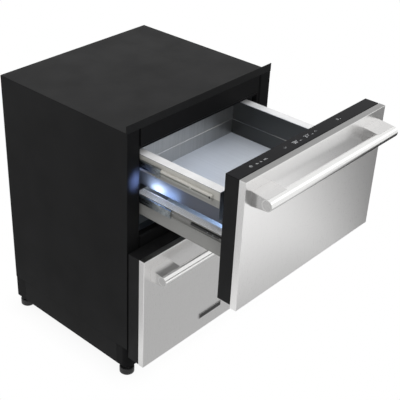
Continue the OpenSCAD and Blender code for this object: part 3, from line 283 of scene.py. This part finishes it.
def moulded(name, color, second, rough=(0.40, 0.52), shine=0.5):
    """Moulded plastic in two close tones."""
    finish, cloud = skin(name, color, edge=0.5 * MM, shine=shine)
    finish.tint(finish.spread(cloud, SHARP), color, second)
    finish.vary_roughness(finish.noise(scale=60.0, detail=3.0), rough)
    mould_grain(finish, distance=0.04 * MM, strength=0.6)
    return finish


def side_rail_shaded_below(split):
    """Warm satin above the split, where the bin's rim folds over, and below it a darker grey that is
    painted shade under the fold.
    """
    finish, cloud = skin("side_rail_shaded_below", (0.4, 0.4, 0.4), edge=0.5 * MM, shine=0.3)
    upper = finish.mixed(cloud, (0.53, 0.52, 0.48), (0.59, 0.575, 0.53))
    # Painted shade: the part below the split takes this darker grey.
    lower = finish.mixed(cloud, (0.29, 0.29, 0.275), (0.34, 0.335, 0.315))
    blend = 0.4 * MM
    below = finish.remap(finish.along("Z"), split - blend, split + blend, 1.0, 0.0)
    finish.tint(below, upper, lower)
    wear = finish.noise(scale=90.0, stretch=(1.0, 0.1, 1.0), detail=3.0)
    finish.vary_roughness(wear, (0.36, 0.48))
    mould_grain(finish, distance=0.03 * MM, strength=0.5)
    return finish


def coated_member(middle):
    """Grey coat like the basket's, with a black upper half where the slide has its front cover."""
    finish, cloud = skin("slide_coat", (0.25, 0.25, 0.24), edge=0.3 * MM, shine=0.35)
    coat = finish.mixed(cloud, (0.23, 0.228, 0.218), (0.27, 0.268, 0.255))
    blend = 0.2 * MM
    start = middle + 1 * MM
    high = finish.spread(finish.along("Z"), (start, start + blend))
    cover_end = COVER_SPAN[1]
    ahead = finish.remap(finish.along("Y"), cover_end - blend, cover_end, 1.0, 0.0)
    finish.tint(finish.calculate("MULTIPLY", high, ahead), coat, (0.010, 0.010, 0.010))
    finish.vary_roughness(finish.noise(scale=60.0, detail=3.0), (0.36, 0.48))
    mould_grain(finish, distance=0.03 * MM, strength=0.5)
    return finish


def basket_plastic_painted_top():
    """Grey on the skirts, and paler on the faces that look up, the rim and the floor: painted light
    from above.
    """
    finish, cloud = skin("basket_plastic_painted_top", (0.3, 0.3, 0.3), edge=0.5 * MM, shine=0.35)
    skirt = finish.mixed(cloud, (0.25, 0.248, 0.237), (0.29, 0.287, 0.274))
    # Painted light: the faces that look up, the rim and the floor, take these pale tones.
    top = finish.mixed(cloud, (0.72, 0.72, 0.715), (0.80, 0.80, 0.795))
    finish.tint(finish.facing("Z"), skirt, top)
    finish.vary_roughness(finish.noise(scale=60.0, detail=3.0), (0.34, 0.46))
    mould_grain(finish, distance=0.04 * MM, strength=0.6)
    return finish


def steel_grain(name, color, axis, rough, streak, anisotropy):
    """Brushed steel without its tones, and the streaks that its tones follow."""
    finish = Finish(name, color, metallic=1.0)
    finish.round_edges(radius=0.6 * MM)
    coarse = finish.grain(axis, streak)
    fine = finish.grain(axis, 3.0 * streak, detail=2.0)
    finish.vary_roughness(fine, rough)
    finish.bump(fine, distance=0.006 * MM, strength=0.3)
    finish.brush_along(axis, anisotropy)
    return finish, coarse


def front_steel_shaded_folds():
    """Upright grain on the fronts, with a painted shade on the folded edges that face up and down.
    """
    color = (0.80, 0.795, 0.79)
    finish, streaks = steel_grain("front_steel_shaded_folds", color, "Z", (0.27, 0.33),
                                  streak=900.0, anisotropy=0.5)
    face = finish.mixed(streaks, color, (0.84, 0.835, 0.83))
    # Painted shade: the folds that face up and down take a much darker tone.
    finish.tint(finish.facing("Z"), face, (0.30, 0.298, 0.295))
    return finish


def handle_steel(name, color, second, rough):
    """Grain that runs the length of the bar."""
    finish, streaks = steel_grain(name, color, "X", rough, streak=700.0, anisotropy=0.35)
    finish.tint(finish.spread(streaks, BROAD), color, second)
    return finish


def bin_steel(outside):
    """Mill finish on the walls, painted darker on the side walls as shade, and a satin floor with a
    painted bluish tint of the lamps' light.

    The outer faces of the side walls, which stand at the distance outside, are dull and dark bluish
    grey: a painted tint of the lamps' light.
    """
    # Painted shade: the side walls take a much darker tone than the mill finish.
    side_wall_shade_tone = (0.085, 0.085, 0.082)
    # Painted light: the outer faces of the side walls take a dark bluish tint of the lamps' cold
    # light.
    outer_side_lamp_tint = (0.105, 0.115, 0.145)
    finish = Finish("bin_steel", (0.5, 0.5, 0.5), metallic=1.0)
    finish.round_edges(radius=0.5 * MM)
    coarse = finish.grain("Z", 220.0)
    lengthwise = finish.grain("Y", 220.0)
    side = finish.facing("X")
    upward = finish.spread(finish.facing("Z"), (0.6, 0.9))
    mill = finish.mixed(coarse, (0.36, 0.36, 0.355), (0.52, 0.52, 0.51))
    wall = finish.mixed(side, mill, side_wall_shade_tone)
    # The satin floor's bluish tint is painted light of the lamps.
    satin = finish.mixed(lengthwise, (0.62, 0.66, 0.72), (0.74, 0.78, 0.84))
    outer = finish.spread(finish.away("X"), (outside - 0.3 * MM, outside - 0.2 * MM))
    outer_side_mask = finish.calculate("MULTIPLY", outer, side)
    finish.tint(outer_side_mask, finish.mixed(upward, wall, satin), outer_side_lamp_tint)
    dull = finish.calculate("MAXIMUM", upward, outer_side_mask)
    finish.drive("Metallic", finish.remap(dull, 0.0, 1.0, 1.0, 0.25))
    finish.vary_roughness(lengthwise, (0.34, 0.44))
    finish.bump(coarse, distance=0.02 * MM, strength=0.15)
    return finish


def zinc_plate(name, color, second):
    """Plated steel with a cloudy bloom, drawn along Y."""
    finish = Finish(name, color, metallic=1.0)
    finish.round_edges(radius=0.3 * MM)
    bloom = finish.noise(scale=60.0, detail=4.0, roughness=0.7)
    finish.tint(finish.spread(bloom, BROAD), color, second)
    drawn = finish.noise(scale=150.0, stretch=(1.0, 0.1, 1.0), detail=3.0)
    finish.vary_roughness(drawn, (0.22, 0.36))
    lines = finish.noise(scale=500.0, stretch=(1.0, 0.05, 1.0))
    finish.bump(lines, distance=0.01 * MM, strength=0.3)
    return finish


def copper_tube():
    finish = Finish("copper_tube", (0.72, 0.34, 0.19), metallic=1.0)
    tarnish = finish.noise(scale=45.0, detail=5.0, roughness=0.65)
    finish.tint(finish.spread(tarnish, (0.35, 0.7)), (0.76, 0.37, 0.21), (0.40, 0.20, 0.12))
    finish.vary_roughness(finish.noise(scale=120.0), (0.20, 0.42))
    return finish


def fin_stock():
    color = (0.78, 0.80, 0.82)
    finish = Finish("fin_stock", color, metallic=1.0)
    finish.tint(finish.noise(scale=80.0, detail=4.0), color, (0.62, 0.64, 0.66))
    finish.vary_roughness(finish.noise(scale=200.0), (0.30, 0.48))
    finish.bump(finish.noise(scale=900.0), distance=0.02 * MM, strength=0.4)
    return finish


def foam_block():
    finish = Finish("foam_cells", (0.86, 0.80, 0.56), roughness=0.85)
    cells = finish.nodes.new("ShaderNodeTexVoronoi")
    cells.inputs["Scale"].default_value = 700.0
    finish.links.new(finish.place, cells.inputs["Vector"])
    cloud = finish.noise(scale=30.0, detail=5.0)
    finish.tint(cloud, (0.88, 0.82, 0.60), (0.74, 0.66, 0.42))
    finish.bump(cells.outputs["Distance"], distance=0.3 * MM, strength=0.8)
    return finish


def dark_glass():
    finish = Finish("strip_glass", (0.007, 0.007, 0.008), roughness=0.2)
    finish.set("IOR", 1.12)
    cloud = finish.noise(scale=14.0, detail=3.0)
    finish.tint(cloud, (0.006, 0.006, 0.007), (0.010, 0.010, 0.011))
    finish.vary_roughness(finish.noise(scale=90.0, detail=4.0), (0.16, 0.24))
    return finish


def rubber(name, color, second):
    finish = Finish(name, color, roughness=0.7)
    finish.set("Specular IOR Level", 0.25)
    finish.tint(finish.noise(scale=50.0, detail=4.0), color, second)
    finish.vary_roughness(finish.noise(scale=160.0), (0.60, 0.78))
    finish.bump(finish.noise(scale=1600.0, detail=3.0), distance=0.05 * MM, strength=0.5)
    return finish


def lamp_lens():
    finish = Finish("lamp_lens", (0.75, 0.85, 1.0), roughness=0.35)
    finish.set("Emission Color", (*LED_COLOR, 1.0))
    chips = finish.noise(scale=120.0, stretch=(1.0, 0.2, 0.2), detail=1.0)
    glow = finish.remap(chips, BROAD[0], BROAD[1], 0.7 * LAMP_GLOW, LAMP_GLOW)
    finish.drive("Emission Strength", glow)
    return finish


# Which finish each part has


def dress_cabinet():
    shell = powder_coat("shell_coat", (0.0130, 0.0130, 0.0132), (0.0155, 0.0155, 0.0158))
    assign(shell, "side_panels", "top_panel", "top_lip", "rear_panel", "rear_cover", "base_pan")
    frame_coat = powder_coat("frame_coat", (0.0060, 0.0060, 0.0063), (0.0080, 0.0080, 0.0083))
    assign(frame_coat, "front_stiles", "front_rails", "corner_posts", "kick_grille")
    # Painted shade: the liner is coloured near black for the shade inside the cabinet.
    liner = moulded("liner_plastic_painted_shade", (0.040, 0.041, 0.043), (0.050, 0.051, 0.053),
                    rough=(0.38, 0.50), shine=0.3)
    assign(liner, "liner_walls", "liner_floor")
    cover = moulded("cover_plastic", (0.42, 0.43, 0.45), (0.50, 0.51, 0.53), rough=(0.30, 0.42))
    assign(cover, "evaporator_cover", "evaporator_fan")
    assign(foam_block(), "foam_insulation")
    assign(lamp_lens(), "led_lamps")


def dress_machine():
    enamel = powder_coat("compressor_enamel", (0.012, 0.012, 0.013), (0.018, 0.018, 0.019),
                         rough=(0.18, 0.30), grain=500.0, shine=0.5)
    assign(enamel, "compressor", "condenser")
    black = moulded("machine_plastic", (0.020, 0.020, 0.021), (0.028, 0.028, 0.030))
    assign(black, "condenser_fan", "fan_shroud", "drain_pan", "control_boxes", "power_inlet")
    mount = rubber("mount_rubber", (0.015, 0.015, 0.015), (0.024, 0.024, 0.024))
    assign(mount, "compressor_mounts")
    assign(copper_tube(), "filter_drier", "refrigerant_tubes")
    assign(fin_stock(), "evaporator")
    assign(zinc_plate("screw_zinc", (0.60, 0.60, 0.60), (0.45, 0.45, 0.46)), "cover_screws")


def dress_feet():
    foot = moulded("foot_plastic", (0.014, 0.014, 0.014), (0.022, 0.022, 0.022),
                   rough=(0.36, 0.50), shine=0.3)
    assign(foot, "foot_front_left", "foot_front_right", "foot_rear_left", "foot_rear_right")


def dress_fronts():
    assign(front_steel_shaded_folds(), "upper_facing", "lower_facing")
    bar = handle_steel("bar_steel", (0.80, 0.80, 0.79), (0.84, 0.84, 0.83), rough=(0.17, 0.23))
    assign(bar, "upper_handle_bar", "lower_handle_bar")
    bracket = handle_steel("bracket_steel", (0.66, 0.655, 0.65), (0.70, 0.695, 0.69),
                           rough=(0.20, 0.26))
    assign(bracket, "upper_handle_brackets", "lower_handle_brackets")
    core = moulded("core_plastic", (0.0100, 0.0100, 0.0103), (0.0125, 0.0125, 0.0128),
                   rough=(0.40, 0.50), shine=0.08)
    assign(core, "upper_core", "lower_core", "basket_brackets")
    assign(dark_glass(), "control_strip")
    seal = rubber("seal_rubber", (0.030, 0.030, 0.032), (0.042, 0.042, 0.044))
    assign(seal, "upper_gasket", "lower_gasket")
    plate = moulded("badge_face", (0.012, 0.012, 0.012), (0.020, 0.020, 0.020), rough=(0.20, 0.28))
    assign(plate, "badge_plate")


def dress_drawers():
    low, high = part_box("bin_slide_inner")
    slide_middle = (low[2] + high[2]) / 2
    assign(bin_steel(BIN_SIDE), "bin_pan", "bin_shelf")
    assign(side_rail_shaded_below(slide_middle - 2 * MM), "bin_rails", "bin_slide_inner")
    # Painted shade: the slide members are coloured a dark bluish grey for the shade they stand in
    # inside the cabinet.
    zinc = zinc_plate("slide_zinc_painted_shade", (0.15, 0.17, 0.185), (0.42, 0.46, 0.49))
    assign(zinc, "bin_slide_outer", "bin_slide_mid", "drawer_slide_outer", "upper_slide_mid")
    assign(zinc, "lower_slide_mid", "slide_screws", "lower_slide_screws")
    low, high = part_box("upper_slide_inner")
    assign(coated_member((low[2] + high[2]) / 2), "upper_slide_inner", "lower_slide_inner")
    assign(basket_plastic_painted_top(), "upper_basket", "lower_basket")


# Small parts


# The three ways in which a prism can stand: a and b lie in its outline, h runs along its height


def flat(a, b, h):
    return (a, b, h)


def upright(a, b, h):
    return (a, h, b)


def sideways(a, b, h):
    return (h, a, b)


def prism(outline, low, high, place=flat):
    """Vertices and faces of a straight prism over a closed outline."""
    count = len(outline)
    vertices = [place(a, b, low) for a, b in outline] + [place(a, b, high) for a, b in outline]
    faces = [tuple(reversed(range(count))), tuple(range(count, 2 * count))]
    faces += [(i, (i + 1) % count, count + (i + 1) % count, count + i) for i in range(count)]
    return vertices, faces


def piece(name, prisms, finish, body):
    """One mesh of several prisms, which rides on a body."""
    vertices = []
    faces = []
    for part_vertices, part_faces in prisms:
        start = len(vertices)
        vertices += part_vertices
        faces += [tuple(start + i for i in face) for face in part_faces]
    mesh = bpy.data.meshes.new(name)
    mesh.from_pydata(vertices, [], faces)
    mesh.update()
    mesh.materials.append(finish.material)
    made = bpy.data.objects.new(name, mesh)
    bpy.context.scene.collection.objects.link(made)
    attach(made, body)


def rectangle(x0, y0, x1, y1):
    return [(x0, y0), (x1, y0), (x1, y1), (x0, y1)]


def circle(x, y, radius):
    turns = [2 * math.pi * i / CIRCLE_SIDES for i in range(CIRCLE_SIDES)]
    return [(x + radius * math.cos(t), y + radius * math.sin(t)) for t in turns]


def arc_band(x, y, radius, line, start, end, count=18):
    """Short four-sided pieces that make an open ring. Angles are in degrees."""
    turns = [math.radians(start + (end - start) * i / count) for i in range(count + 1)]
    outer = radius + line / 2
    inner = radius - line / 2
    bands = []
    for a, b in zip(turns, turns[1:]):
        bands.append([
            (x + inner * math.cos(a), y + inner * math.sin(a)),
            (x + outer * math.cos(a), y + outer * math.sin(a)),
            (x + outer * math.cos(b), y + outer * math.sin(b)),
            (x + inner * math.cos(b), y + inner * math.sin(b)),
        ])
    return bands


def level_line(x0, x1, y):
    """A thin level line that stands on y."""
    return rectangle(x0, y, x1, y + MARK_LINE)


def digit(x, y, sign):
    """A plain seven-part digit whose lower left corner is at x, y."""
    w, h = DIGIT_SIZE
    t = MARK_LINE
    gap = 0.3 * t
    middle = h / 2
    parts = {
        "a": rectangle(x, y + h - t, x + w, y + h),
        "b": rectangle(x + w - t, y + middle, x + w, y + h - t - gap),
        "c": rectangle(x + w - t, y + t + gap, x + w, y + middle - gap),
        "d": rectangle(x, y, x + w, y + t),
        "e": rectangle(x, y + t + gap, x + t, y + middle - gap),
        "f": rectangle(x, y + middle, x + t, y + h - t - gap),
        "g": rectangle(x + t + gap, y + middle - t / 2, x + w - t - gap, y + middle + t / 2),
    }
    return [parts[name] for name in DIGIT_PARTS[sign]]


def chevron(x, y, up):
    """An arrow head of two slanted lines. It points up for 1 and down for -1."""
    tip = y + up * ARROW_SIZE
    rise = up * MARK_LINE
    left = [(x - ARROW_SIZE, y), (x - ARROW_SIZE, y + rise), (x, tip + rise), (x, tip)]
    right = [(x + ARROW_SIZE, y), (x, tip), (x, tip + rise), (x + ARROW_SIZE, y + rise)]
    return [left, right] if up < 0 else [left[::-1], right[::-1]]


def switch_sign(x, y):
    """A ring that is open at the top, with a short upright line in the opening."""
    radius = 3.4 * MM
    half = MARK_LINE / 2
    ring = arc_band(x, y, radius, MARK_LINE, 120, 420)
    return ring + [rectangle(x - half, y, x + half, y + radius + 1 * MM)]


def word_lines(x0, x1, y):
    """A long and a short line in place of a word."""
    return [level_line(x0, x1, y - 4 * MM), level_line(x0, x1 - 3 * MM, y - 1.6 * MM)]


def reading(x, y, signs):
    """Two digits and a small ring, with a short line in place of the unit."""
    step = 8 * MM
    ring_x = x + 18 * MM
    ring_radius = 1.3 * MM
    unit_x = x + 24 * MM
    unit_width = 7 * MM
    marks = []
    for i, sign in enumerate(signs):
        marks += digit(x + i * step, y - 5 * MM, sign)
    marks += arc_band(ring_x, y + 4 * MM, ring_radius, 0.7 * MARK_LINE, 0, 360, 12)
    marks.append(level_line(unit_x, unit_x + unit_width, y - 4 * MM))
    return marks


def lamp_sign(x, y):
    """A ring that is open below, over a foot, and a short line beside it."""
    half = 1.4 * MM
    foot_y = y - 3.6 * MM
    bulb = arc_band(x, y + 1 * MM, 2.6 * MM, MARK_LINE, -60, 240)
    foot = level_line(x - half, x + half, foot_y)
    return bulb + [foot, level_line(x + 7 * MM, x + 12 * MM, foot_y)]


def strip_marks(y):
    """Outlines of the signs, from the switch at the left to the lamp at the right."""
    signs = switch_sign(SWITCH_X, y)
    for x0, x1 in WORD_SPANS:
        signs += word_lines(x0, x1, y)
    signs += chevron(DOWN_X, y + 2 * MM, -1)
    for x, digits in READINGS:
        signs += reading(x, y, digits)
    signs += chevron(UP_X, y - 2 * MM, 1)
    signs += lamp_sign(LAMP_X, y)
    return signs


def add_strip_marks():
    low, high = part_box("control_strip")
    middle = (low[1] + high[1]) / 2
    finish = moulded("mark_print", (0.52, 0.53, 0.54), (0.60, 0.61, 0.62), rough=(0.45, 0.55))
    z0 = high[2] - MARK_HEIGHT
    z1 = high[2] + MARK_HEIGHT
    prisms = [prism(sign, z0, z1) for sign in strip_marks(middle)]
    piece("strip_marks", prisms, finish, "upper_drawer")


def add_badge_edge():
    """A slim bright edge that stands around the bare badge."""
    low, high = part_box("badge_plate")
    x0, x1 = low[0], high[0]
    z0, z1 = low[2], high[2]
    e = BADGE_EDGE
    bars = [
        [(x0, z0), (x1, z0), (x1 - e, z0 + e), (x0 + e, z0 + e)],
        [(x1, z0), (x1, z1), (x1 - e, z1 - e), (x1 - e, z0 + e)],
        [(x1, z1), (x0, z1), (x0 + e, z1 - e), (x1 - e, z1 - e)],
        [(x0, z1), (x0, z0), (x0 + e, z0 + e), (x0 + e, z1 - e)],
    ]
    front = low[1] - 0.35 * MM
    back = low[1] + 0.2 * MM
    finish = zinc_plate("badge_bright", (0.62, 0.62, 0.61), (0.50, 0.50, 0.49))
    piece("badge_edge", [prism(bar, front, back, upright) for bar in bars], finish, "lower_drawer")


def hem_outline(inner_x, outer_x, top):
    """Section of a rolled hem: a low bead along each edge of the rim and a shallow flat between."""
    r = HEM_RADIUS
    # A bead is three quarters of a half circle, in steps of an eighth
    steps = [math.pi * i / 8 for i in range(7)]
    bead = [(r - r * math.cos(t), r * math.sin(t)) for t in steps]
    side = 1.0 if outer_x > inner_x else -1.0
    first = [(inner_x + side * x, top + z) for x, z in bead]
    last = [(outer_x - side * x, top + z) for x, z in reversed(bead)]
    return first + last


def add_bin_hems():
    low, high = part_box("bin_pan")
    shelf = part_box("bin_shelf")
    front = low[1] + 1 * MM
    back = shelf[1][1]
    top = high[2] - 0.2 * MM
    finish = moulded("hem_satin", (0.66, 0.66, 0.66), (0.72, 0.72, 0.72), rough=(0.30, 0.38))
    for name, outer, inward in (("bin_hem_left", low[0], 1), ("bin_hem_right", high[0], -1)):
        outline = hem_outline(outer + inward * RIM_WIDTH, outer, top)
        piece(name, [prism(outline, front, back, upright)], finish, "upper_bin")


def add_slide_covers():
    """The black cover with two bright screws in the front end of each upper drawer member."""
    low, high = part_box("upper_slide_inner")
    middle = (low[2] + high[2]) / 2
    y0, y1 = COVER_SPAN
    z0 = middle + 1 * MM
    z1 = high[2] - 1.6 * MM
    slant = 4 * MM
    screw_z = middle + 4 * MM
    outline = [(y0, z0), (y1, z0), (y1, middle + slant), (y1 - slant, z1), (y0, z1)]
    heads = [circle(y, screw_z, 1.3 * MM) for y in COVER_SCREWS]
    black = moulded("slide_cover", (0.008, 0.008, 0.008), (0.012, 0.012, 0.012))
    bright = zinc_plate("cover_screw", (0.60, 0.60, 0.60), (0.45, 0.45, 0.46))
    for name, face, out in (("slide_cover_left", low[0], -1), ("slide_cover_right", high[0], 1)):
        outer = face - out * 0.3 * MM
        inner = outer - out * 2.4 * MM
        head_top = outer + out * 0.2 * MM
        piece(name, [prism(outline, inner, outer, sideways)], black, "upper_drawer")
        screws = [prism(head, outer, head_top, sideways) for head in heads]
        piece(name + "_screws", screws, bright, "upper_drawer")


def add_slide_plugs():
    """The dark plug near the front of each drawer member of the bin's slides."""
    low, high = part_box("bin_slide_inner")
    middle = (low[2] + high[2]) / 2
    y = low[1] + 7 * MM
    head = circle(y, middle, 3.4 * MM)
    collar = circle(y, middle, 2.0 * MM)
    finish = moulded("plug_plastic", (0.012, 0.012, 0.012), (0.018, 0.018, 0.018))
    for name, face, out in (("slide_plug_left", low[0], -1), ("slide_plug_right", high[0], 1)):
        wide = prism(head, face, face + out * 0.5 * MM, sideways)
        narrow = prism(collar, face, face + out * 0.9 * MM, sideways)
        piece(name, [wide, narrow], finish, "upper_bin")


# Studio


def background_share(tree):
    """1 for the rays that show the background: from the camera, in a mirror or through glass."""
    path = tree.nodes.new("ShaderNodeLightPath")
    share = path.outputs["Is Camera Ray"]
    for ray in ("Is Glossy Ray", "Is Transmission Ray"):
        node = tree.nodes.new("ShaderNodeMath")
        node.operation = "MAXIMUM"
        tree.links.new(share, node.inputs[0])
        tree.links.new(path.outputs[ray], node.inputs[1])
        share = node.outputs["Value"]
    return share


def sheet(name, size, finish):
    """A flat rectangle round its own origin, facing up."""
    x = size[0] / 2
    y = size[1] / 2
    corners = [(-x, -y, 0.0), (x, -y, 0.0), (x, y, 0.0), (-x, y, 0.0)]
    mesh = bpy.data.meshes.new(name)
    mesh.from_pydata(corners, [], [(0, 1, 2, 3)])
    mesh.materials.append(finish.material)
    made = bpy.data.objects.new(name, mesh)
    bpy.context.scene.collection.objects.link(made)
    return made


def stage_floor():
    """Pale paper. It shows white, with the object's soft contact shadow."""
    finish = Finish("floor_paper", FLOOR_COLOR, roughness=0.9)
    finish.tint(finish.noise(scale=3.0, detail=3.0), FLOOR_COLOR, FLOOR_SECOND)
    finish.bump(finish.noise(scale=900.0), distance=0.05 * MM, strength=0.2)
    contact = finish.nodes.new("ShaderNodeAmbientOcclusion")
    contact.inputs["Distance"].default_value = CONTACT_REACH
    white = finish.nodes.new("ShaderNodeEmission")
    shade = finish.remap(contact.outputs["AO"], 0.0, 1.0, CONTACT_SHADE, 1.0)
    finish.links.new(shade, white.inputs["Strength"])
    seen = background_share(finish.material.node_tree)
    finish.show(seen, finish.shader.outputs[0], white.outputs[0])
    floor = sheet("stage_floor", (FLOOR_SIZE, FLOOR_SIZE), finish)


def edge_share(finish, axis, half, border):
    """1 inside a card, falling to 0 over its border."""
    return finish.remap(finish.away(axis), half * (1.0 - border), half, 1.0, 0.0)


def card(name, center, size, light, turn=(0, 0, 0), border=0.3, ramp=1.0):
    """A soft-edged card that only shiny surfaces see.

    Its light goes from the first value to the second over the share ramp of its width.
    """
    half_x = size[0] / 2
    half_y = size[1] / 2
    finish = Finish(name, (0.0, 0.0, 0.0))
    glow = finish.nodes.new("ShaderNodeEmission")
    ramp_end = -half_x + ramp * size[0]
    strength = finish.remap(finish.along("X"), -half_x, ramp_end, light[0], light[1])
    finish.links.new(strength, glow.inputs["Strength"])
    share_x = edge_share(finish, "X", half_x, border)
    share_y = edge_share(finish, "Y", half_y, border)
    cover = finish.calculate("MULTIPLY", share_x, share_y)
    clear = finish.nodes.new("ShaderNodeBsdfTransparent")
    finish.show(cover, clear.outputs[0], glow.outputs[0])
    made = sheet(name, size, finish)
    made.location = center
    made.rotation_euler = [math.radians(angle) for angle in turn]
    made.visible_camera = False
    made.visible_diffuse = False
    made.visible_transmission = False
    made.visible_shadow = False


def floor_cards():
    """Greys on the floor, where the fronts, the handles and the side mirror it."""
    card("card_floor_right", center=(1.61, -0.29, LOWER_CARD), size=(2.2, 3.4), light=(1.0, 0.04),
         turn=(0, 0, 45), border=0.02, ramp=0.16)
    card("card_floor_near", center=(0.15, -0.48, UPPER_CARD), size=(1.3, 1.1), light=(0.51, 0.51))
    card("card_floor_far", center=(0.50, -1.75, UPPER_CARD), size=(1.1, 1.0), light=(1.4, 1.4))
    card("card_floor_left", center=(-1.25, -1.40, LOWER_CARD), size=(1.2, 1.2),
         light=(0.05, 0.05), border=0.2)
    card("card_floor_side", center=(-1.05, 0.80, LOWER_CARD), size=(1.5, 1.7),
         light=(0.55, 0.55), border=0.2)


def bright_cards():
    """One high at the right, one under the open basket and one behind the upper handle's bar."""
    card("card_bright", center=(2.2, -1.9, 2.3), size=(1.8, 1.8), light=(1.5, 1.5),
         turn=(-60, 0, -135))
    card("card_below_drawer", center=(-0.02, -0.25, 0.530), size=(0.52, 0.24),
         light=(1.0, 1.0), border=0.1)
    low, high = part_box("upper_handle_bar")
    behind_bar = (-0.02, high[1] + 1 * MM, (low[2] + high[2]) / 2)
    card("card_handle_gap", center=behind_bar, size=(0.44, 0.038), light=(0.95, 0.75),
         turn=(90, 0, 0), border=0.15)


def area_light(name, at, aim, size, power, color=WHITE, spread=180.0):
    """A rectangular light that is never seen itself."""
    data = bpy.data.lights.new(name, "AREA")
    data.shape = "RECTANGLE"
    data.size = size[0]
    data.size_y = size[1]
    data.energy = power
    data.color = color
    data.spread = math.radians(spread)
    light = bpy.data.objects.new(name, data)
    light.location = at
    light.rotation_euler = (Vector(aim) - Vector(at)).to_track_quat("-Z", "Y").to_euler()
    light.visible_camera = False
    light.visible_glossy = False
    bpy.context.scene.collection.objects.link(light)


def studio_world():
    """White where it shows. The rest of the light comes from a plain soft room."""
    world = bpy.data.worlds.new("studio")
    bpy.context.scene.world = world
    world.use_nodes = True
    tree = world.node_tree
    room = tree.nodes["Background"]
    room.inputs["Color"].default_value = (*ROOM_COLOR, 1.0)
    room.inputs["Strength"].default_value = ROOM_LIGHT
    paper = tree.nodes.new("ShaderNodeBackground")
    paper.inputs["Color"].default_value = (*WHITE, 1.0)
    paper.inputs["Strength"].default_value = 1.0
    show_mix(tree, background_share(tree), room.outputs[0], paper.outputs[0], "World Output")


def studio_lights():
    area_light("key_left", at=(-2.4, -2.2, 2.9), aim=(0.0, -0.2, 0.5), size=(1.8, 1.8), power=34.0)
    area_light("front_right", at=(2.0, -2.6, 2.6), aim=(0.0, -0.3, 0.6), size=(1.8, 1.4), power=34.0)
    area_light("overhead", at=(0.0, 0.0, 3.0), aim=(0.0, 0.0, 0.0), size=(2.4, 2.4), power=38.0)


def side_lamp(name, y, length, power, color):
    """A slim lamp beside the bin's left wall, which it lights from the outside and from below."""
    z = 650 * MM
    at = (-BIN_SIDE - 18 * MM, y, z)
    aim = (-BIN_SIDE, y, z + 14 * MM)
    area_light(name, at, aim, (length, 8 * MM), power, color)


def led_lights():
    """The cold light of the lamps: beside the bin, on the basket's floor and on the left stile."""
    side_lamp("led_side", y=-0.068, length=0.040, power=0.12, color=LED_PALE)
    side_lamp("led_fade", y=-0.118, length=0.045, power=0.05, color=LED_COLOR)
    area_light("led_floor", at=(-0.10, -0.26, 0.630), aim=(-0.10, -0.26, 0.550),
               size=(0.16, 0.12), power=0.15, color=LED_COLOR)
    area_light("led_stile", at=(-0.268, -0.110, 0.692), aim=(-0.268, -0.038, 0.692),
               size=(0.012, 0.03), power=0.18, color=LED_SPILL, spread=50.0)


def camera():
    data = bpy.data.cameras.new("camera")
    data.lens = CAMERA_LENS
    data.sensor_width = CAMERA_SENSOR
    data.shift_x = CAMERA_SHIFT[0]
    data.shift_y = CAMERA_SHIFT[1]
    data.clip_start = CAMERA_REACH[0]
    data.clip_end = CAMERA_REACH[1]
    yaw = math.radians(CAMERA_YAW)
    pitch = math.radians(CAMERA_PITCH)
    roll = math.radians(CAMERA_ROLL)
    level = math.cos(pitch)
    ahead = Vector((math.sin(yaw) * level, math.cos(yaw) * level, -math.sin(pitch)))
    right = Vector((math.cos(yaw), -math.sin(yaw), 0.0))
    up = right.cross(ahead)
    rolled_right = math.cos(roll) * right + math.sin(roll) * up
    rolled_up = math.cos(roll) * up - math.sin(roll) * right
    turn = Matrix((rolled_right, rolled_up, -ahead)).transposed()
    view = bpy.data.objects.new("camera", data)
    view.matrix_world = Matrix.Translation(CAMERA_AT) @ turn.to_4x4()
    bpy.context.scene.collection.objects.link(view)
    bpy.context.scene.camera = view


camera()
dress_cabinet()
dress_machine()
dress_feet()
dress_fronts()
dress_drawers()
add_strip_marks()
add_badge_edge()
add_bin_hems()
add_slide_plugs()
add_slide_covers()
stage_floor()
studio_world()
floor_cards()
bright_cards()
studio_lights()
led_lights()

bpy.context.scene.view_settings.view_transform = "Standard"
bpy.context.view_layer.update()
